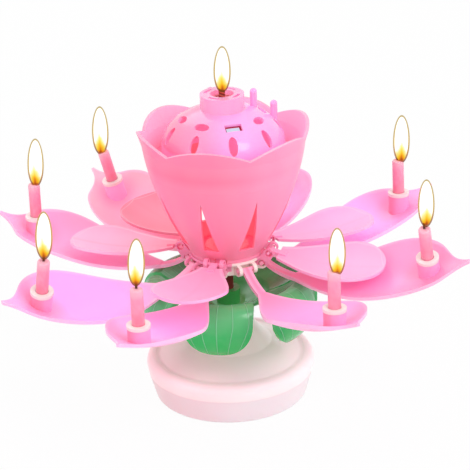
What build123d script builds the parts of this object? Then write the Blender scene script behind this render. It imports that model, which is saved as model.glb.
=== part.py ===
from build123d import *
import math
import os

# Lotus-flower musical birthday candle, standing open on a table, in millimetres.
# The origin is the centre of the base's underside, Z is up and the flower turns about Z.
# The front of the flower faces -Y.

# Clearances shared by all pieces
running_clearance = 0.08
fit_clearance = 0.05
part_gap = 0.3
overrun = 1.0
full_turn = 360.0
half_turn = 180.0
quarter_turn = 90.0

# Base housing
foot_radius = 30.0
foot_edge = 1.2
parting_radius = 32.5
parting_height = 10.4
shell_wall = 1.6
floor_thickness = 1.8

# Base cover
cover_radius = 33.0
cover_side_height = 13.4
shoulder_radius = 29.4
shoulder_height = 16.9
shoulder_bulge = 0.9
groove_radius = 27.0
groove_depth = 0.4
slope_radius = 16.6
slope_height = 21.8
boss_top_radius = 9.6
boss_height = 30.0
boss_waist = 0.6
boss_roof = 3.2
lip_depth = 1.2
lip_wall = 1.0

# Neck bush and its thrust face
neck_radius = 5.0
neck_height = 36.2
neck_edge = 0.6
stem_radius = 3.6
stem_length = 3.4

# Battery, its bay and its door
battery_radius = 5.25
battery_length = 44.5
battery_cap_radius = 2.0
battery_cap_height = 0.8
battery_y = -11.0
contact_thickness = 0.5
contact_width = 8.0
contact_height = 9.0
bay_wall = 1.2
bay_height = 7.0
door_ledge = 0.8
door_thickness = 0.9
door_edge_gap = 0.25
door_recess = 0.1
door_tab_width = 7.0
door_tab_depth = 1.2

# Screws that hold the cover, and their posts
post_radius = 2.8
post_ring_radius = 24.5
post_angles = (28.0, 130.0, 270.0)
screw_shank_radius = 0.95
screw_head_radius = 1.9
screw_head_height = 1.2
screw_recess = 2.0
screw_reach = 5.0

# Gear plate and its own posts
plate_bottom = 12.9
plate_thickness = 1.2
plate_post_radius = 2.0
plate_post_places = ((19.0, -1.5), (-22.0, -2.0), (-8.5, 19.0))
plate_corner_radius = 3.0
plate_motor_margin = 1.5
plate_boss_radius = 3.6
plate_boss_depth = 2.0
plate_boss_floor = 0.9

# Gear train: module, teeth and the heights of its two planes
gear_module = 0.5
spindle_teeth = 36
idler_small_teeth = 9
idler_large_teeth = 36
pinion_teeth = 8
addendum_share = 0.8
dedendum_share = 1.15
tooth_width_shares = (0.72, 0.42, 0.2)
gear_thickness = 1.4
gear_plane_gap = 0.4
idler_lift = 0.3
gear_hub_radius = 3.4
idler_pin_radius = 0.75
idler_head_radius = 1.2
idler_head_height = 0.5
idler_bearing = 90.0
motor_bearing = 0.0

# Motor
motor_radius = 5.0
motor_flat = 4.0
motor_length = 10.4
motor_boss_radius = 2.0
motor_shaft_radius = 0.75
motor_shaft_depth = 4.0

# Circuit board, chip and buzzer
board_corner = (-20.0, 0.5)
board_size = (16.5, 15.0)
board_thickness = 1.2
board_height = 6.5
standoff_radius = 1.0
standoff_inset = 1.3
chip_radius = 2.8
chip_height = 1.4
buzzer_centre = (-12.0, 7.8)
buzzer_radius = 6.5
buzzer_disc = 0.3
buzzer_ceramic_radius = 4.4
buzzer_seat = 0.7
sound_hole_radius = 0.8
sound_hole_ring = 3.0
sound_hole_count = 6

# Slide switch on the underside
switch_centre = (0.0, 23.4)
switch_size = (10.5, 5.4, 4.4)
switch_travel = 2.0
slider_size = (4.0, 2.2)
slider_recess = 0.35
slider_foot = (5.2, 3.4, 0.8)
slider_ridge_count = 3
slider_ridge = 0.3

# Spindle
spindle_radius = 2.1
journal_radius = 1.5
gear_seat_radius = 1.8
thrust_radius = 3.6
thrust_thickness = 0.8
top_seat_radius = 1.7
top_seat_height = 54.0
spindle_top = 59.6

# Calyx of six leaves
leaf_count = 6
leaf_front_bearing = 262.0
leaf_wall = 1.2
calyx_collar_radius = 4.6
calyx_collar_height = 44.0
bowl_root_radius = 6.5
bowl_middle_radius = 16.0
bowl_middle_height = 43.3
crest_radius = 26.6
crest_height = 48.8
droop_radius = 34.6
droop_height = 39.0
tip_radius = 31.4
tip_height = 30.0
leaf_half_width = 13.4
leaf_tip_start = 42.0
notch_root_radius = 14.0

# Hub ring that carries the petals
hub_bottom = 54.5
hub_top = 60.0
hub_web = 1.5
hub_wall_radius = 12.8
hub_wall = 1.6
hub_boss_radius = 4.2
hub_flange_radius = 14.6
hub_flange = 1.0
hub_window_count = 4
hub_window_radius = 2.6
tab_count = 4
tab_bearing = 260.0
tab_width = 4.0
tab_thickness = 0.7
tab_height = 1.8

# Petal stations: eight, evenly spaced round the hub
station_count = 8
station_phase = 344.0

# Clip hinges of the outer petals
hinge_radius = 14.75
hinge_height = 57.0
hinge_pin_radius = 0.8
hinge_hole_radius = 1.45
lug_gap = 4.9
lug_thickness = 1.4
lug_end_radius = 2.1

# Outer petals: each share pairs a place along the blade with its rise or its half width there
strap_width = 3.6
strap_thickness = 1.4
strap_sag = 1.6
strap_end_radius = 27.0
petal_length = 68.5
petal_half_width = 16.0
blade_thickness = 1.3
blade_low_height = 50.0
blade_rise = 14.4
blade_cup_radius = 31.5
blade_bend_angle = 42.0
blade_rise_shares = ((0.0, 0.056), (0.16, 0.0), (0.336, 0.028), (0.54, 0.18), (0.745, 0.458),
                     (0.89, 0.757), (1.0, 1.0))
blade_width_shares = ((0.0, 0.12), (0.16, 0.456), (0.336, 0.775), (0.54, 1.0), (0.7, 0.95),
                      (0.832, 0.638), (0.89, 0.331), (1.0, 0.038))

# Post, drip ring and candle of each outer petal
socket_radius_place = 79.7
socket_radius = 4.1
socket_top = 64.0
socket_bore_depth = 5.8
drip_ring_radius = 4.3
drip_ring_thickness = 1.2
candle_radius = 2.3
candle_height = 15.0
candle_edge = 0.9
candle_fit = 0.12
wick_radius = 0.45
wick_length = 2.6

# Inner petals, with shares as for the outer ones
inner_hinge_radius = 17.6
inner_hinge_height = 61.3
inner_pin_radius = 0.55
inner_hole_radius = 1.45
inner_lug_radius = 2.0
inner_strap_width = 2.8
inner_strap_thickness = 1.2
inner_strap_sag = 0.2
inner_root_radius = 21.0
inner_length = 41.6
inner_half_width = 13.9
inner_thickness = 1.1
inner_cup_radius = 38.0
inner_low_height = 58.0
inner_rise = 2.4
inner_rise_shares = ((0.0, 0.9), (0.22, 0.3), (0.48, 0.0), (0.78, 0.35), (1.0, 1.0))
inner_width_shares = ((0.0, 0.3), (0.2, 0.56), (0.45, 0.87), (0.7, 1.0), (0.9, 0.72))

# Cup of the bud
cup_wall = 1.3
cup_foot_radius = 14.0
cup_foot_height = 1.7
cup_step = 0.5
cup_knee_radius = 20.4
cup_knee_height = 72.0
cup_belly_radius = 27.3
cup_belly_height = 89.0
cup_shoulder_radius = 29.6
cup_shoulder_height = 97.0
cup_valley_radius = 31.0
cup_valley_height = 105.0
cup_lip_radius = 33.2
cup_lip_height = 111.6
cup_floor = 1.5
lobe_count = 6
lobe_bearing = 258.0
lobe_top = 111.2
lobe_root = 104.2
slot_count = 8
slot_bearing = 250.5
slot_half_width = 3.1
slot_base = 66.4
slot_apex = 89.2
notch_width = 4.6
notch_height = 2.4
dome_ledge_height = 97.0
dome_ledge_thickness = 1.4
dome_ledge_reach = 2.2

# Dome in the cup
dome_radius = 23.4
dome_rise = 14.8
dome_centre_height = 103.9
dome_wall = 1.3
dome_flange = 1.3
dome_edge_gap = 0.3
collar_radius = 8.35
collar_bottom = 116.4
collar_top = 123.4
collar_bore_radius = 4.5
collar_slot_count = 4
collar_slot_radius = 6.4
collar_slot_width = 1.3
collar_slot_depth = 1.4
collar_slot_angle = 42.0
upper_hole_count = 8
upper_hole_bearing = 285.0
upper_hole_ring = 15.5
upper_hole_size = (3.0, 1.75)
lower_hole_count = 9
lower_hole_bearing = 280.0
lower_hole_ring = 21.4
lower_hole_size = (1.7, 3.7)
window_size = (6.4, 3.4)
peg_radius = 1.35
peg_places = ((28.0, 13.4, 123.0), (17.0, 20.3, 118.2), (112.0, 11.8, 122.4))

# Candle tube, centre candle and its fuse
tube_radius = 5.6
tube_bore_radius = 4.25
tube_narrow_radius = 3.2
tube_ledge_height = 86.0
tube_flange_radius = 8.2
tube_flange = 1.2
fountain_radius = 4.0
fountain_top = 121.8
fountain_rim = 0.6
fuse_radius = 1.2
fuse_top = 128.6
flower_screw_head_radius = 2.4
flower_screw_head_height = 1.4
flower_screw_radius = 0.9
flower_screw_length = 9.0

# How each petal rests at its loose clip hinge, in degrees: yaw, tilt upwards and roll of the blade
outer_rests = {1: (-1.9, 1.9, 17.6), 2: (-0.6, 1.2, -0.6), 3: (-0.9, -0.4, 0.7), 4: (5.5, 1.2, -15.7),
               5: (-3.6, 1.1, -2.6), 6: (0.2, -0.3, -15.8), 7: (-8.9, -0.8, -0.2), 8: (-1.3, 1.6, -0.3)}
inner_rests = {1: (-3.8, -1.5, 8.0), 2: (-8.5, 2.3, -1.7), 3: (2.0, 0.0, 0.0), 4: (12.0, 2.0, -8.0),
               5: (4.2, 0.2, 2.3), 7: (-0.9, 6.9, 0.2)}

# Sizes worked out from the ones above
plate_top = plate_bottom + plate_thickness
large_gear_bottom = plate_top + idler_lift
large_gear_top = large_gear_bottom + gear_thickness
small_gear_bottom = large_gear_top + gear_plane_gap
small_gear_top = small_gear_bottom + gear_thickness
idler_reach = gear_module * (spindle_teeth + idler_small_teeth) / 2
pinion_reach = gear_module * (idler_large_teeth + pinion_teeth) / 2


def on_circle(radius, bearing):
    """The point at a radius and a bearing, as x and y."""
    angle = math.radians(bearing)
    return (radius * math.cos(angle), radius * math.sin(angle))


idler_place = on_circle(idler_reach, idler_bearing)
motor_step = on_circle(pinion_reach, motor_bearing)
motor_place = (idler_place[0] + motor_step[0], idler_place[1] + motor_step[1])
battery_height = door_recess + door_thickness + part_gap + battery_radius
bay_length = battery_length + 2 * (contact_thickness + part_gap)
bay_width = 2 * (battery_radius + part_gap)
thrust_bottom = neck_height + part_gap
calyx_bottom = thrust_bottom + thrust_thickness
bowl_root_height = calyx_bottom + leaf_wall
cup_bottom = hub_top
cup_floor_top = cup_bottom + cup_floor
blade_cup_height = blade_low_height + blade_cup_radius
inner_root_height = inner_low_height + inner_rise_shares[0][1] * inner_rise
inner_cup_height = inner_low_height + inner_cup_radius
drip_ring_top = socket_top + drip_ring_thickness
candle_bottom = socket_top - socket_bore_depth
candle_top = drip_ring_top + candle_height - drip_ring_thickness


def closed_outline(start, *steps):
    """A face whose edge runs straight to each point, or round by a middle point to an end point."""
    edges = []
    here = start
    for step in steps + ((start,),):
        if len(step) == 2:
            edges.append(ThreePointArc(here, step[0], step[1]))
        else:
            edges.append(Line(here, step[0]))
        here = step[-1]
    return make_face(edges)


def lathe(outline):
    """Turn an outline of radius and height about the Z axis."""
    return revolve(Plane.XZ * outline, Axis.Z)


def post(place, radius, bottom, top):
    """An upright cylinder at a place on the floor plan."""
    body = Cylinder(radius, top - bottom, align=(Align.CENTER, Align.CENTER, Align.MIN))
    return Pos(place[0], place[1], bottom) * body


def tube(place, radius, bore, bottom, top):
    """An upright tube at a place on the floor plan."""
    return post(place, radius, bottom, top) - post(place, bore, bottom - overrun, top + overrun)


def block(centre, size, bottom, top):
    """An upright box with its centre at a place on the floor plan."""
    body = Box(size[0], size[1], top - bottom, align=(Align.CENTER, Align.CENTER, Align.MIN))
    return Pos(centre[0], centre[1], bottom) * body


def rounded_slab(outline, bottom, top):
    """A flat outline on the floor plan, drawn up between two heights."""
    return Pos(0, 0, bottom) * extrude(outline, top - bottom)


def radial_prism(outline, start, end):
    """An outline of sideways place and height, drawn outwards along X."""
    plane = Plane(origin=(start, 0, 0), x_dir=(0, 1, 0), z_dir=(1, 0, 0))
    return extrude(plane * outline, end - start)


def turned(shape, bearing):
    """The shape turned about the Z axis."""
    return Rot(0, 0, bearing) * shape


def around(shape, count, phase):
    """Even copies of a shape round the Z axis, joined into one."""
    copies = [turned(shape, phase + number * full_turn / count) for number in range(count)]
    joined = copies[0]
    for copy in copies[1:]:
        joined = joined + copy
    return joined


def gear(teeth, place, bottom, phase):
    """A spur gear with one tooth centred at the phase angle."""
    pitch_radius = gear_module * teeth / 2
    tip = pitch_radius + addendum_share * gear_module
    root = pitch_radius - dedendum_share * gear_module
    tooth_angle = full_turn / teeth
    corners = []
    for number in range(teeth):
        middle = phase + number * tooth_angle
        root_half, pitch_half, tip_half = [share * tooth_angle / 2 for share in tooth_width_shares]
        corners.append(on_circle(root, middle - root_half))
        corners.append(on_circle(pitch_radius, middle - pitch_half))
        corners.append(on_circle(tip, middle - tip_half))
        corners.append(on_circle(tip, middle + tip_half))
        corners.append(on_circle(pitch_radius, middle + pitch_half))
        corners.append(on_circle(root, middle + root_half))
    outline = make_face(Polyline(*corners, close=True))
    return Pos(place[0], place[1], bottom) * extrude(outline, gear_thickness)


# Base


def cover_outer_outline():
    """The cover's outside, from its rim up over the shoulder and the groove to the boss."""
    shoulder_middle = ((cover_radius + shoulder_radius) / 2 + shoulder_bulge,
                       (cover_side_height + shoulder_height) / 2 + shoulder_bulge)
    groove_middle = ((shoulder_radius + groove_radius) / 2, shoulder_height - groove_depth)
    boss_middle = ((slope_radius + boss_top_radius) / 2 - boss_waist, (slope_height + boss_height) / 2)
    return closed_outline(
        (0, parting_height),
        ((parting_radius, parting_height),),
        ((cover_radius, cover_side_height),),
        (shoulder_middle, (shoulder_radius, shoulder_height)),
        (groove_middle, (groove_radius, shoulder_height)),
        ((slope_radius, slope_height),),
        (boss_middle, (boss_top_radius, boss_height)),
        ((0, boss_height),))


def cover_inner_outline():
    """The space under the cover, one wall inside the outside."""
    return closed_outline(
        (0, parting_height - overrun),
        ((parting_radius - shell_wall, parting_height - overrun),),
        ((cover_radius - shell_wall, cover_side_height),),
        ((shoulder_radius - shell_wall, shoulder_height - shell_wall),),
        ((groove_radius - shell_wall, shoulder_height - groove_depth - shell_wall),),
        ((slope_radius - shell_wall, slope_height - shell_wall),),
        ((boss_top_radius - shell_wall, boss_height - boss_roof),),
        ((0, boss_height - boss_roof),))


def housing_outer_outline():
    """The housing's outside: flat foot, small round edge and a side that opens upwards."""
    edge_middle = (foot_radius - foot_edge / 3, foot_edge / 3)
    return closed_outline(
        (0, 0),
        ((foot_radius - foot_edge, 0),),
        (edge_middle, (foot_radius, foot_edge)),
        ((parting_radius, parting_height),),
        ((0, parting_height),))


def housing_inner_outline():
    """The space in the housing, above its floor."""
    return closed_outline(
        (0, floor_thickness),
        ((foot_radius - shell_wall, floor_thickness),),
        ((parting_radius - shell_wall, parting_height),),
        ((parting_radius - shell_wall, parting_height + overrun),),
        ((0, parting_height + overrun),))


def battery_bay_walls():
    """A frame of walls round the battery and its contacts."""
    centre = (0, battery_y)
    outer = block(centre, (bay_length + 2 * bay_wall, bay_width + 2 * bay_wall), 0, bay_height)
    inner = block(centre, (bay_length, bay_width), -overrun, bay_height + overrun)
    return outer - inner


def make_housing():
    outside = lathe(housing_outer_outline())
    shell = outside - lathe(housing_inner_outline())
    shell = shell + (battery_bay_walls() & outside)
    for bearing in post_angles:
        shell = shell + post(on_circle(post_ring_radius, bearing), post_radius, 0, parting_height)
    for place in plate_post_places:
        shell = shell + post(place, plate_post_radius, 0, plate_bottom)
    for place in standoff_places():
        shell = shell + post(place, standoff_radius, 0, board_height)
    seat = tube(buzzer_centre, buzzer_radius, buzzer_radius - 2 * buzzer_seat, 0,
                floor_thickness + buzzer_seat)
    shell = shell + seat
    for bearing in post_angles:
        place = on_circle(post_ring_radius, bearing)
        shell = shell - post(place, screw_shank_radius + fit_clearance, -overrun, parting_height + overrun)
        shell = shell - post(place, screw_head_radius + part_gap, -overrun, screw_recess)
    centre = (0, battery_y)
    ledge_top = door_recess + door_thickness
    shell = shell - block(centre, (bay_length + door_ledge, bay_width + door_ledge), -overrun, ledge_top)
    shell = shell - block(centre, (bay_length - door_ledge, bay_width - door_ledge),
                          -overrun, floor_thickness + overrun)
    for number in range(sound_hole_count):
        offset = on_circle(sound_hole_ring, number * full_turn / sound_hole_count)
        hole = (buzzer_centre[0] + offset[0], buzzer_centre[1] + offset[1])
        shell = shell - post(hole, sound_hole_radius, -overrun, floor_thickness + overrun)
    slot = (slider_size[0] + switch_travel + 2 * part_gap, slider_size[1] + 2 * part_gap)
    shell = shell - block(switch_centre, slot, -overrun, floor_thickness + overrun)
    return shell


def make_cover():
    inside = lathe(cover_inner_outline())
    shell = lathe(cover_outer_outline()) - inside
    lip_radius = parting_radius - shell_wall - 2 * part_gap
    lip = tube((0, 0), lip_radius, lip_radius - lip_wall, parting_height - lip_depth,
               parting_height + lip_depth)
    shell = shell + lip + (tube((0, 0), parting_radius, lip_radius - lip_wall,
                                parting_height, parting_height + lip_depth))
    for bearing in post_angles:
        place = on_circle(post_ring_radius, bearing)
        shell = shell + post(place, post_radius, parting_height, shoulder_height - groove_depth)
    for bearing in post_angles:
        place = on_circle(post_ring_radius, bearing)
        shell = shell - post(place, screw_shank_radius + fit_clearance,
                             parting_height - overrun, parting_height + screw_reach)
        notch = post(place, post_radius + part_gap, parting_height - lip_depth - overrun, parting_height)
        shell = shell - notch
    return shell - post((0, 0), stem_radius + fit_clearance, boss_height - boss_roof - overrun,
                        boss_height + overrun)


def make_neck_bush():
    """The white neck that carries the spindle, with a stem pressed into the cover."""
    outline = closed_outline(
        (spindle_radius + running_clearance, boss_height - stem_length),
        ((stem_radius, boss_height - stem_length),),
        ((stem_radius, boss_height),),
        ((neck_radius, boss_height),),
        ((neck_radius, neck_height - neck_edge),),
        ((neck_radius - neck_edge, neck_height),),
        ((spindle_radius + running_clearance, neck_height),))
    return lathe(outline)


def make_battery():
    body = Cylinder(battery_radius, battery_length - battery_cap_height, rotation=(0, 90, 0))
    body = Pos(-battery_cap_height / 2, 0, 0) * body
    cap = Cylinder(battery_cap_radius, battery_cap_height, rotation=(0, 90, 0))
    cap = Pos((battery_length - battery_cap_height) / 2, 0, 0) * cap
    return Pos(0, battery_y, battery_height) * (body + cap)


def make_contacts():
    """The two sprung metal tabs at the ends of the battery."""
    reach = battery_length / 2 + contact_thickness / 2
    tabs = []
    for side in (-1, 1):
        tab = block((side * reach, battery_y), (contact_thickness, contact_width), floor_thickness,
                    floor_thickness + contact_height)
        tabs.append(tab)
    return tabs


def make_battery_door():
    top = door_recess + door_thickness
    length = bay_length + door_ledge - 2 * door_edge_gap
    width = bay_width + door_ledge - 2 * door_edge_gap
    door = block((0, battery_y), (length, width), door_recess, top)
    grip = block((length / 2 - door_tab_depth * 2, battery_y), (door_tab_depth, door_tab_width),
                 door_recess - overrun, door_recess + door_thickness / 3)
    rib = block((0, battery_y), (bay_wall, bay_width - 2 * door_ledge), top, top + part_gap / 2)
    return door - grip + rib


def make_cover_screws():
    """Three small screws, put in from below."""
    screws = []
    for bearing in post_angles:
        place = on_circle(post_ring_radius, bearing)
        head_top = screw_recess
        head = post(place, screw_head_radius, head_top - screw_head_height, head_top)
        shank = post(place, screw_shank_radius, head_top, parting_height + screw_reach - part_gap)
        screws.append(head + shank)
    return screws


def make_gear_plate():
    """A flat plate on three posts that carries the spindle's foot, the idler pin and the motor."""
    circles = [Pos(*place) * Circle(plate_corner_radius) for place in plate_post_places]
    circles.append(Pos(*motor_place) * Circle(motor_radius + plate_motor_margin))
    circles.append(Circle(plate_boss_radius))
    edges = []
    for circle in circles:
        edges.extend(circle.edges())
    plate = rounded_slab(make_hull(edges), plate_bottom, plate_top)
    plate = plate + post((0, 0), plate_boss_radius, plate_bottom - plate_boss_depth, plate_bottom)
    plate = plate - post((0, 0), journal_radius + running_clearance,
                         plate_bottom - plate_boss_depth + plate_boss_floor, plate_top + overrun)
    plate = plate - post(idler_place, idler_pin_radius, plate_bottom - overrun, plate_top + overrun)
    plate = plate - post(motor_place, motor_boss_radius + fit_clearance,
                         plate_bottom - overrun, plate_top + overrun)
    for place in plate_post_places:
        plate = plate - post(place, screw_shank_radius, plate_bottom - overrun, plate_top + overrun)
    return plate


def make_plate_screws():
    """Three screws that hold the gear plate down on its posts."""
    screws = []
    for place in plate_post_places:
        head = post(place, screw_head_radius, plate_top, plate_top + screw_head_height / 2)
        shank = post(place, screw_shank_radius - fit_clearance, plate_bottom, plate_top)
        screws.append(head + shank)
    return screws


def make_idler_pin():
    shank_top = small_gear_top + part_gap
    pin = post(idler_place, idler_pin_radius, plate_bottom, shank_top)
    return pin + post(idler_place, idler_head_radius, shank_top, shank_top + idler_head_height)


def make_motor():
    """A small can motor with two flats, hung under the gear plate."""
    bottom = plate_bottom - motor_length
    can = post(motor_place, motor_radius, bottom, plate_bottom)
    flats = block(motor_place, (2 * motor_radius, 2 * motor_flat), bottom, plate_bottom)
    can = (can & flats) + post(motor_place, motor_boss_radius, plate_bottom, plate_top - part_gap)
    bore_bottom = plate_bottom - motor_shaft_depth
    return can - post(motor_place, motor_shaft_radius + running_clearance, bore_bottom, plate_top)


def make_motor_shaft():
    bottom = plate_bottom - motor_shaft_depth + part_gap
    return post(motor_place, motor_shaft_radius, bottom, large_gear_top + part_gap)


def make_motor_pinion():
    phase = motor_bearing + full_turn / 2 + full_turn / pinion_teeth / 2
    pinion = gear(pinion_teeth, motor_place, large_gear_bottom, phase)
    return pinion - post(motor_place, motor_shaft_radius + fit_clearance / 2,
                         large_gear_bottom - overrun, large_gear_top + overrun)


def make_idler_gear():
    """A large and a small gear in one piece, turning on the idler pin."""
    large = gear(idler_large_teeth, idler_place, large_gear_bottom, motor_bearing)
    small_phase = idler_bearing + full_turn / 2 + full_turn / idler_small_teeth / 2
    small = gear(idler_small_teeth, idler_place, small_gear_bottom, small_phase)
    waist_radius = gear_module * idler_small_teeth / 2 - dedendum_share * gear_module
    waist = post(idler_place, waist_radius, large_gear_top, small_gear_bottom)
    return large + waist + small - post(idler_place, idler_pin_radius + running_clearance,
                                        plate_top, small_gear_top + overrun)


def make_spindle_gear():
    wheel = gear(spindle_teeth, (0, 0), small_gear_bottom, idler_bearing)
    wheel = wheel + post((0, 0), gear_hub_radius, small_gear_top, small_gear_top + part_gap)
    return wheel - post((0, 0), gear_seat_radius + fit_clearance,
                        small_gear_bottom - overrun, small_gear_top + overrun)


def standoff_places():
    """Two opposite corners of the circuit board."""
    left = board_corner[0] + standoff_inset
    right = board_corner[0] + board_size[0] - standoff_inset
    front = board_corner[1] + standoff_inset
    back = board_corner[1] + board_size[1] - standoff_inset
    return ((left, front), (right, back))


def make_circuit_board():
    centre = (board_corner[0] + board_size[0] / 2, board_corner[1] + board_size[1] / 2)
    return block(centre, board_size, board_height, board_height + board_thickness)


def make_sound_chip():
    """The drop of epoxy over the music chip."""
    centre = (board_corner[0] + board_size[0] / 2, board_corner[1] + board_size[1] / 2)
    bottom = board_height + board_thickness
    ball_radius = (chip_radius * chip_radius + chip_height * chip_height) / (2 * chip_height)
    ball = Pos(centre[0], centre[1], bottom + chip_height - ball_radius) * Sphere(ball_radius)
    return ball & post(centre, chip_radius, bottom, bottom + chip_height)


def make_buzzer():
    bottom = floor_thickness + buzzer_seat
    disc = post(buzzer_centre, buzzer_radius, bottom, bottom + buzzer_disc)
    return disc + post(buzzer_centre, buzzer_ceramic_radius, bottom + buzzer_disc, bottom + 2 * buzzer_disc)


def make_switch_body():
    """The switch's can, open below where the slider runs."""
    can = block(switch_centre, switch_size, floor_thickness, floor_thickness + switch_size[2])
    room = (slider_foot[0] + switch_travel + 2 * part_gap, slider_foot[1] + 2 * part_gap)
    top = floor_thickness + slider_foot[2] + part_gap
    return can - block(switch_centre, room, floor_thickness - overrun, top)


def make_switch_slider():
    """The slider at its off end, with finger ridges on its underside."""
    centre = (switch_centre[0] - switch_travel / 2, switch_centre[1])
    foot_bottom = floor_thickness + part_gap / 2
    slider = block(centre, slider_foot, foot_bottom, foot_bottom + slider_foot[2])
    slider = slider + block(centre, slider_size, slider_recess + slider_ridge, foot_bottom)
    spacing = slider_size[0] / slider_ridge_count
    for number in range(slider_ridge_count):
        offset = (number - (slider_ridge_count - 1) / 2) * spacing
        ridge = block((centre[0] + offset, centre[1]), (spacing / 2, slider_size[1]),
                      slider_recess, slider_recess + slider_ridge)
        slider = slider + ridge
    return slider


# Flower


def make_spindle():
    """The stepped red spindle: foot journal, gear seat, shank, thrust collar and top seat."""
    shoulder = small_gear_top + part_gap
    outline = closed_outline(
        (0, plate_bottom - plate_boss_depth + plate_boss_floor + part_gap),
        ((journal_radius, plate_bottom - plate_boss_depth + plate_boss_floor + part_gap),),
        ((journal_radius, large_gear_top + part_gap),),
        ((gear_seat_radius, large_gear_top + part_gap),),
        ((gear_seat_radius, shoulder),),
        ((spindle_radius, shoulder),),
        ((spindle_radius, thrust_bottom),),
        ((thrust_radius, thrust_bottom),),
        ((thrust_radius, calyx_bottom),),
        ((spindle_radius, calyx_bottom),),
        ((spindle_radius, top_seat_height),),
        ((top_seat_radius, top_seat_height),),
        ((top_seat_radius, spindle_top),),
        ((0, spindle_top),))
    depth = flower_screw_length + part_gap
    hole = post((0, 0), flower_screw_radius + fit_clearance, cup_floor_top - depth, spindle_top + overrun)
    return lathe(outline) - hole


def leaf_shell_outline():
    """The calyx wall: bowl, crest and drooping tip, as radius and height."""
    rise_middle = ((bowl_middle_radius + crest_radius) / 2, (bowl_middle_height + crest_height) / 2)
    crest_bend = (crest_radius + leaf_wall * 3, crest_height - leaf_wall / 3)
    droop_bend = (droop_radius - leaf_wall, (crest_height + droop_height) / 2 + leaf_wall)
    tip_bend = (droop_radius - leaf_wall / 3, (droop_height + tip_height) / 2)
    lower = leaf_wall
    return closed_outline(
        (spindle_radius, bowl_root_height),
        ((bowl_root_radius, bowl_root_height),),
        ((bowl_middle_radius, bowl_middle_height),),
        (rise_middle_bulge(rise_middle), (crest_radius, crest_height)),
        (crest_bend, (crest_radius + leaf_wall * 5, crest_height - leaf_wall * 2)),
        (droop_bend, (droop_radius, droop_height)),
        (tip_bend, (tip_radius, tip_height)),
        ((tip_radius - lower, tip_height),),
        ((tip_bend[0] - lower, tip_bend[1]), (droop_radius - lower, droop_height)),
        ((droop_bend[0] - lower, droop_bend[1] - lower / 2),
         (crest_radius + leaf_wall * 4, crest_height - leaf_wall * 3)),
        ((crest_radius + leaf_wall * 2, crest_height - leaf_wall * 3 / 2),
         (crest_radius, crest_height - lower)),
        ((rise_middle_bulge(rise_middle)[0], rise_middle_bulge(rise_middle)[1] - lower),
         (bowl_middle_radius, bowl_middle_height - lower)),
        ((bowl_root_radius, bowl_root_height - lower),),
        ((spindle_radius, bowl_root_height - lower),))


def rise_middle_bulge(point):
    """The middle of the bowl's rise, a little hollow."""
    return (point[0] + leaf_wall / 3, point[1] - leaf_wall / 3)


def leaf_plan():
    """A leaf seen from above: it meets its neighbours at the notch root, then widens less than they part."""
    half_sector = full_turn / leaf_count / 2
    root = on_circle(notch_root_radius, half_sector)
    far = droop_radius + overrun
    return closed_outline(
        (0, 0),
        ((root[0], -root[1]),),
        ((crest_radius, -leaf_half_width),),
        ((far, -leaf_half_width),),
        ((far, leaf_half_width),),
        ((crest_radius, leaf_half_width),),
        (root,))


def leaf_front():
    """A leaf seen from outside, as sideways place and height: upright sides and a round tip."""
    middle = leaf_half_width * math.sin(math.radians(half_turn / 4))
    rise = (leaf_tip_start - tip_height) * math.sin(math.radians(half_turn / 4))
    top = crest_height + overrun
    return closed_outline(
        (-leaf_half_width, top),
        ((-leaf_half_width, leaf_tip_start),),
        ((-middle, leaf_tip_start - rise), (0, tip_height)),
        ((middle, leaf_tip_start - rise), (leaf_half_width, leaf_tip_start)),
        ((leaf_half_width, top),))


def make_calyx():
    """Six leaves round one collar on the spindle."""
    shell = lathe(leaf_shell_outline())
    lower = bowl_root_height - 2 * leaf_wall
    plan = rounded_slab(leaf_plan(), tip_height - overrun, crest_height + overrun)
    front = radial_prism(leaf_front(), crest_radius, droop_radius + overrun)
    inner = block((0, 0), (2 * crest_radius, 4 * crest_radius), lower, crest_height + overrun)
    leaf = plan & (front + inner)
    calyx = shell & around(leaf, leaf_count, leaf_front_bearing)
    collar = post((0, 0), calyx_collar_radius, calyx_bottom, calyx_collar_height)
    calyx = calyx + collar
    return calyx - post((0, 0), spindle_radius + fit_clearance, calyx_bottom - overrun,
                        calyx_collar_height + overrun)


def hub_lug(side, tall):
    """One cheek of a clip hinge, for a station on the X axis."""
    low = Pos(hinge_radius, hinge_height) * Circle(lug_end_radius)
    root_low = Pos(hub_wall_radius, hinge_height) * Circle(lug_end_radius)
    edges = list(low.edges()) + list(root_low.edges())
    cheek = make_hull(edges)
    if tall:
        high = Pos(inner_hinge_radius, inner_hinge_height) * Circle(inner_lug_radius)
        cheek = cheek + make_hull(list(high.edges()) + list(low.edges()))
    middle = side * (lug_gap + lug_thickness) / 2
    plate = extrude(Plane.XZ * cheek, lug_thickness / 2, both=True)
    return Pos(0, middle, 0) * plate


def hinge_drill(radius, height, bore):
    """A cross hole through both cheeks of a station on the X axis."""
    drill = Cylinder(bore, 2 * (lug_gap + 2 * lug_thickness), rotation=(90, 0, 0))
    return Pos(radius, 0, height) * drill


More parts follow.
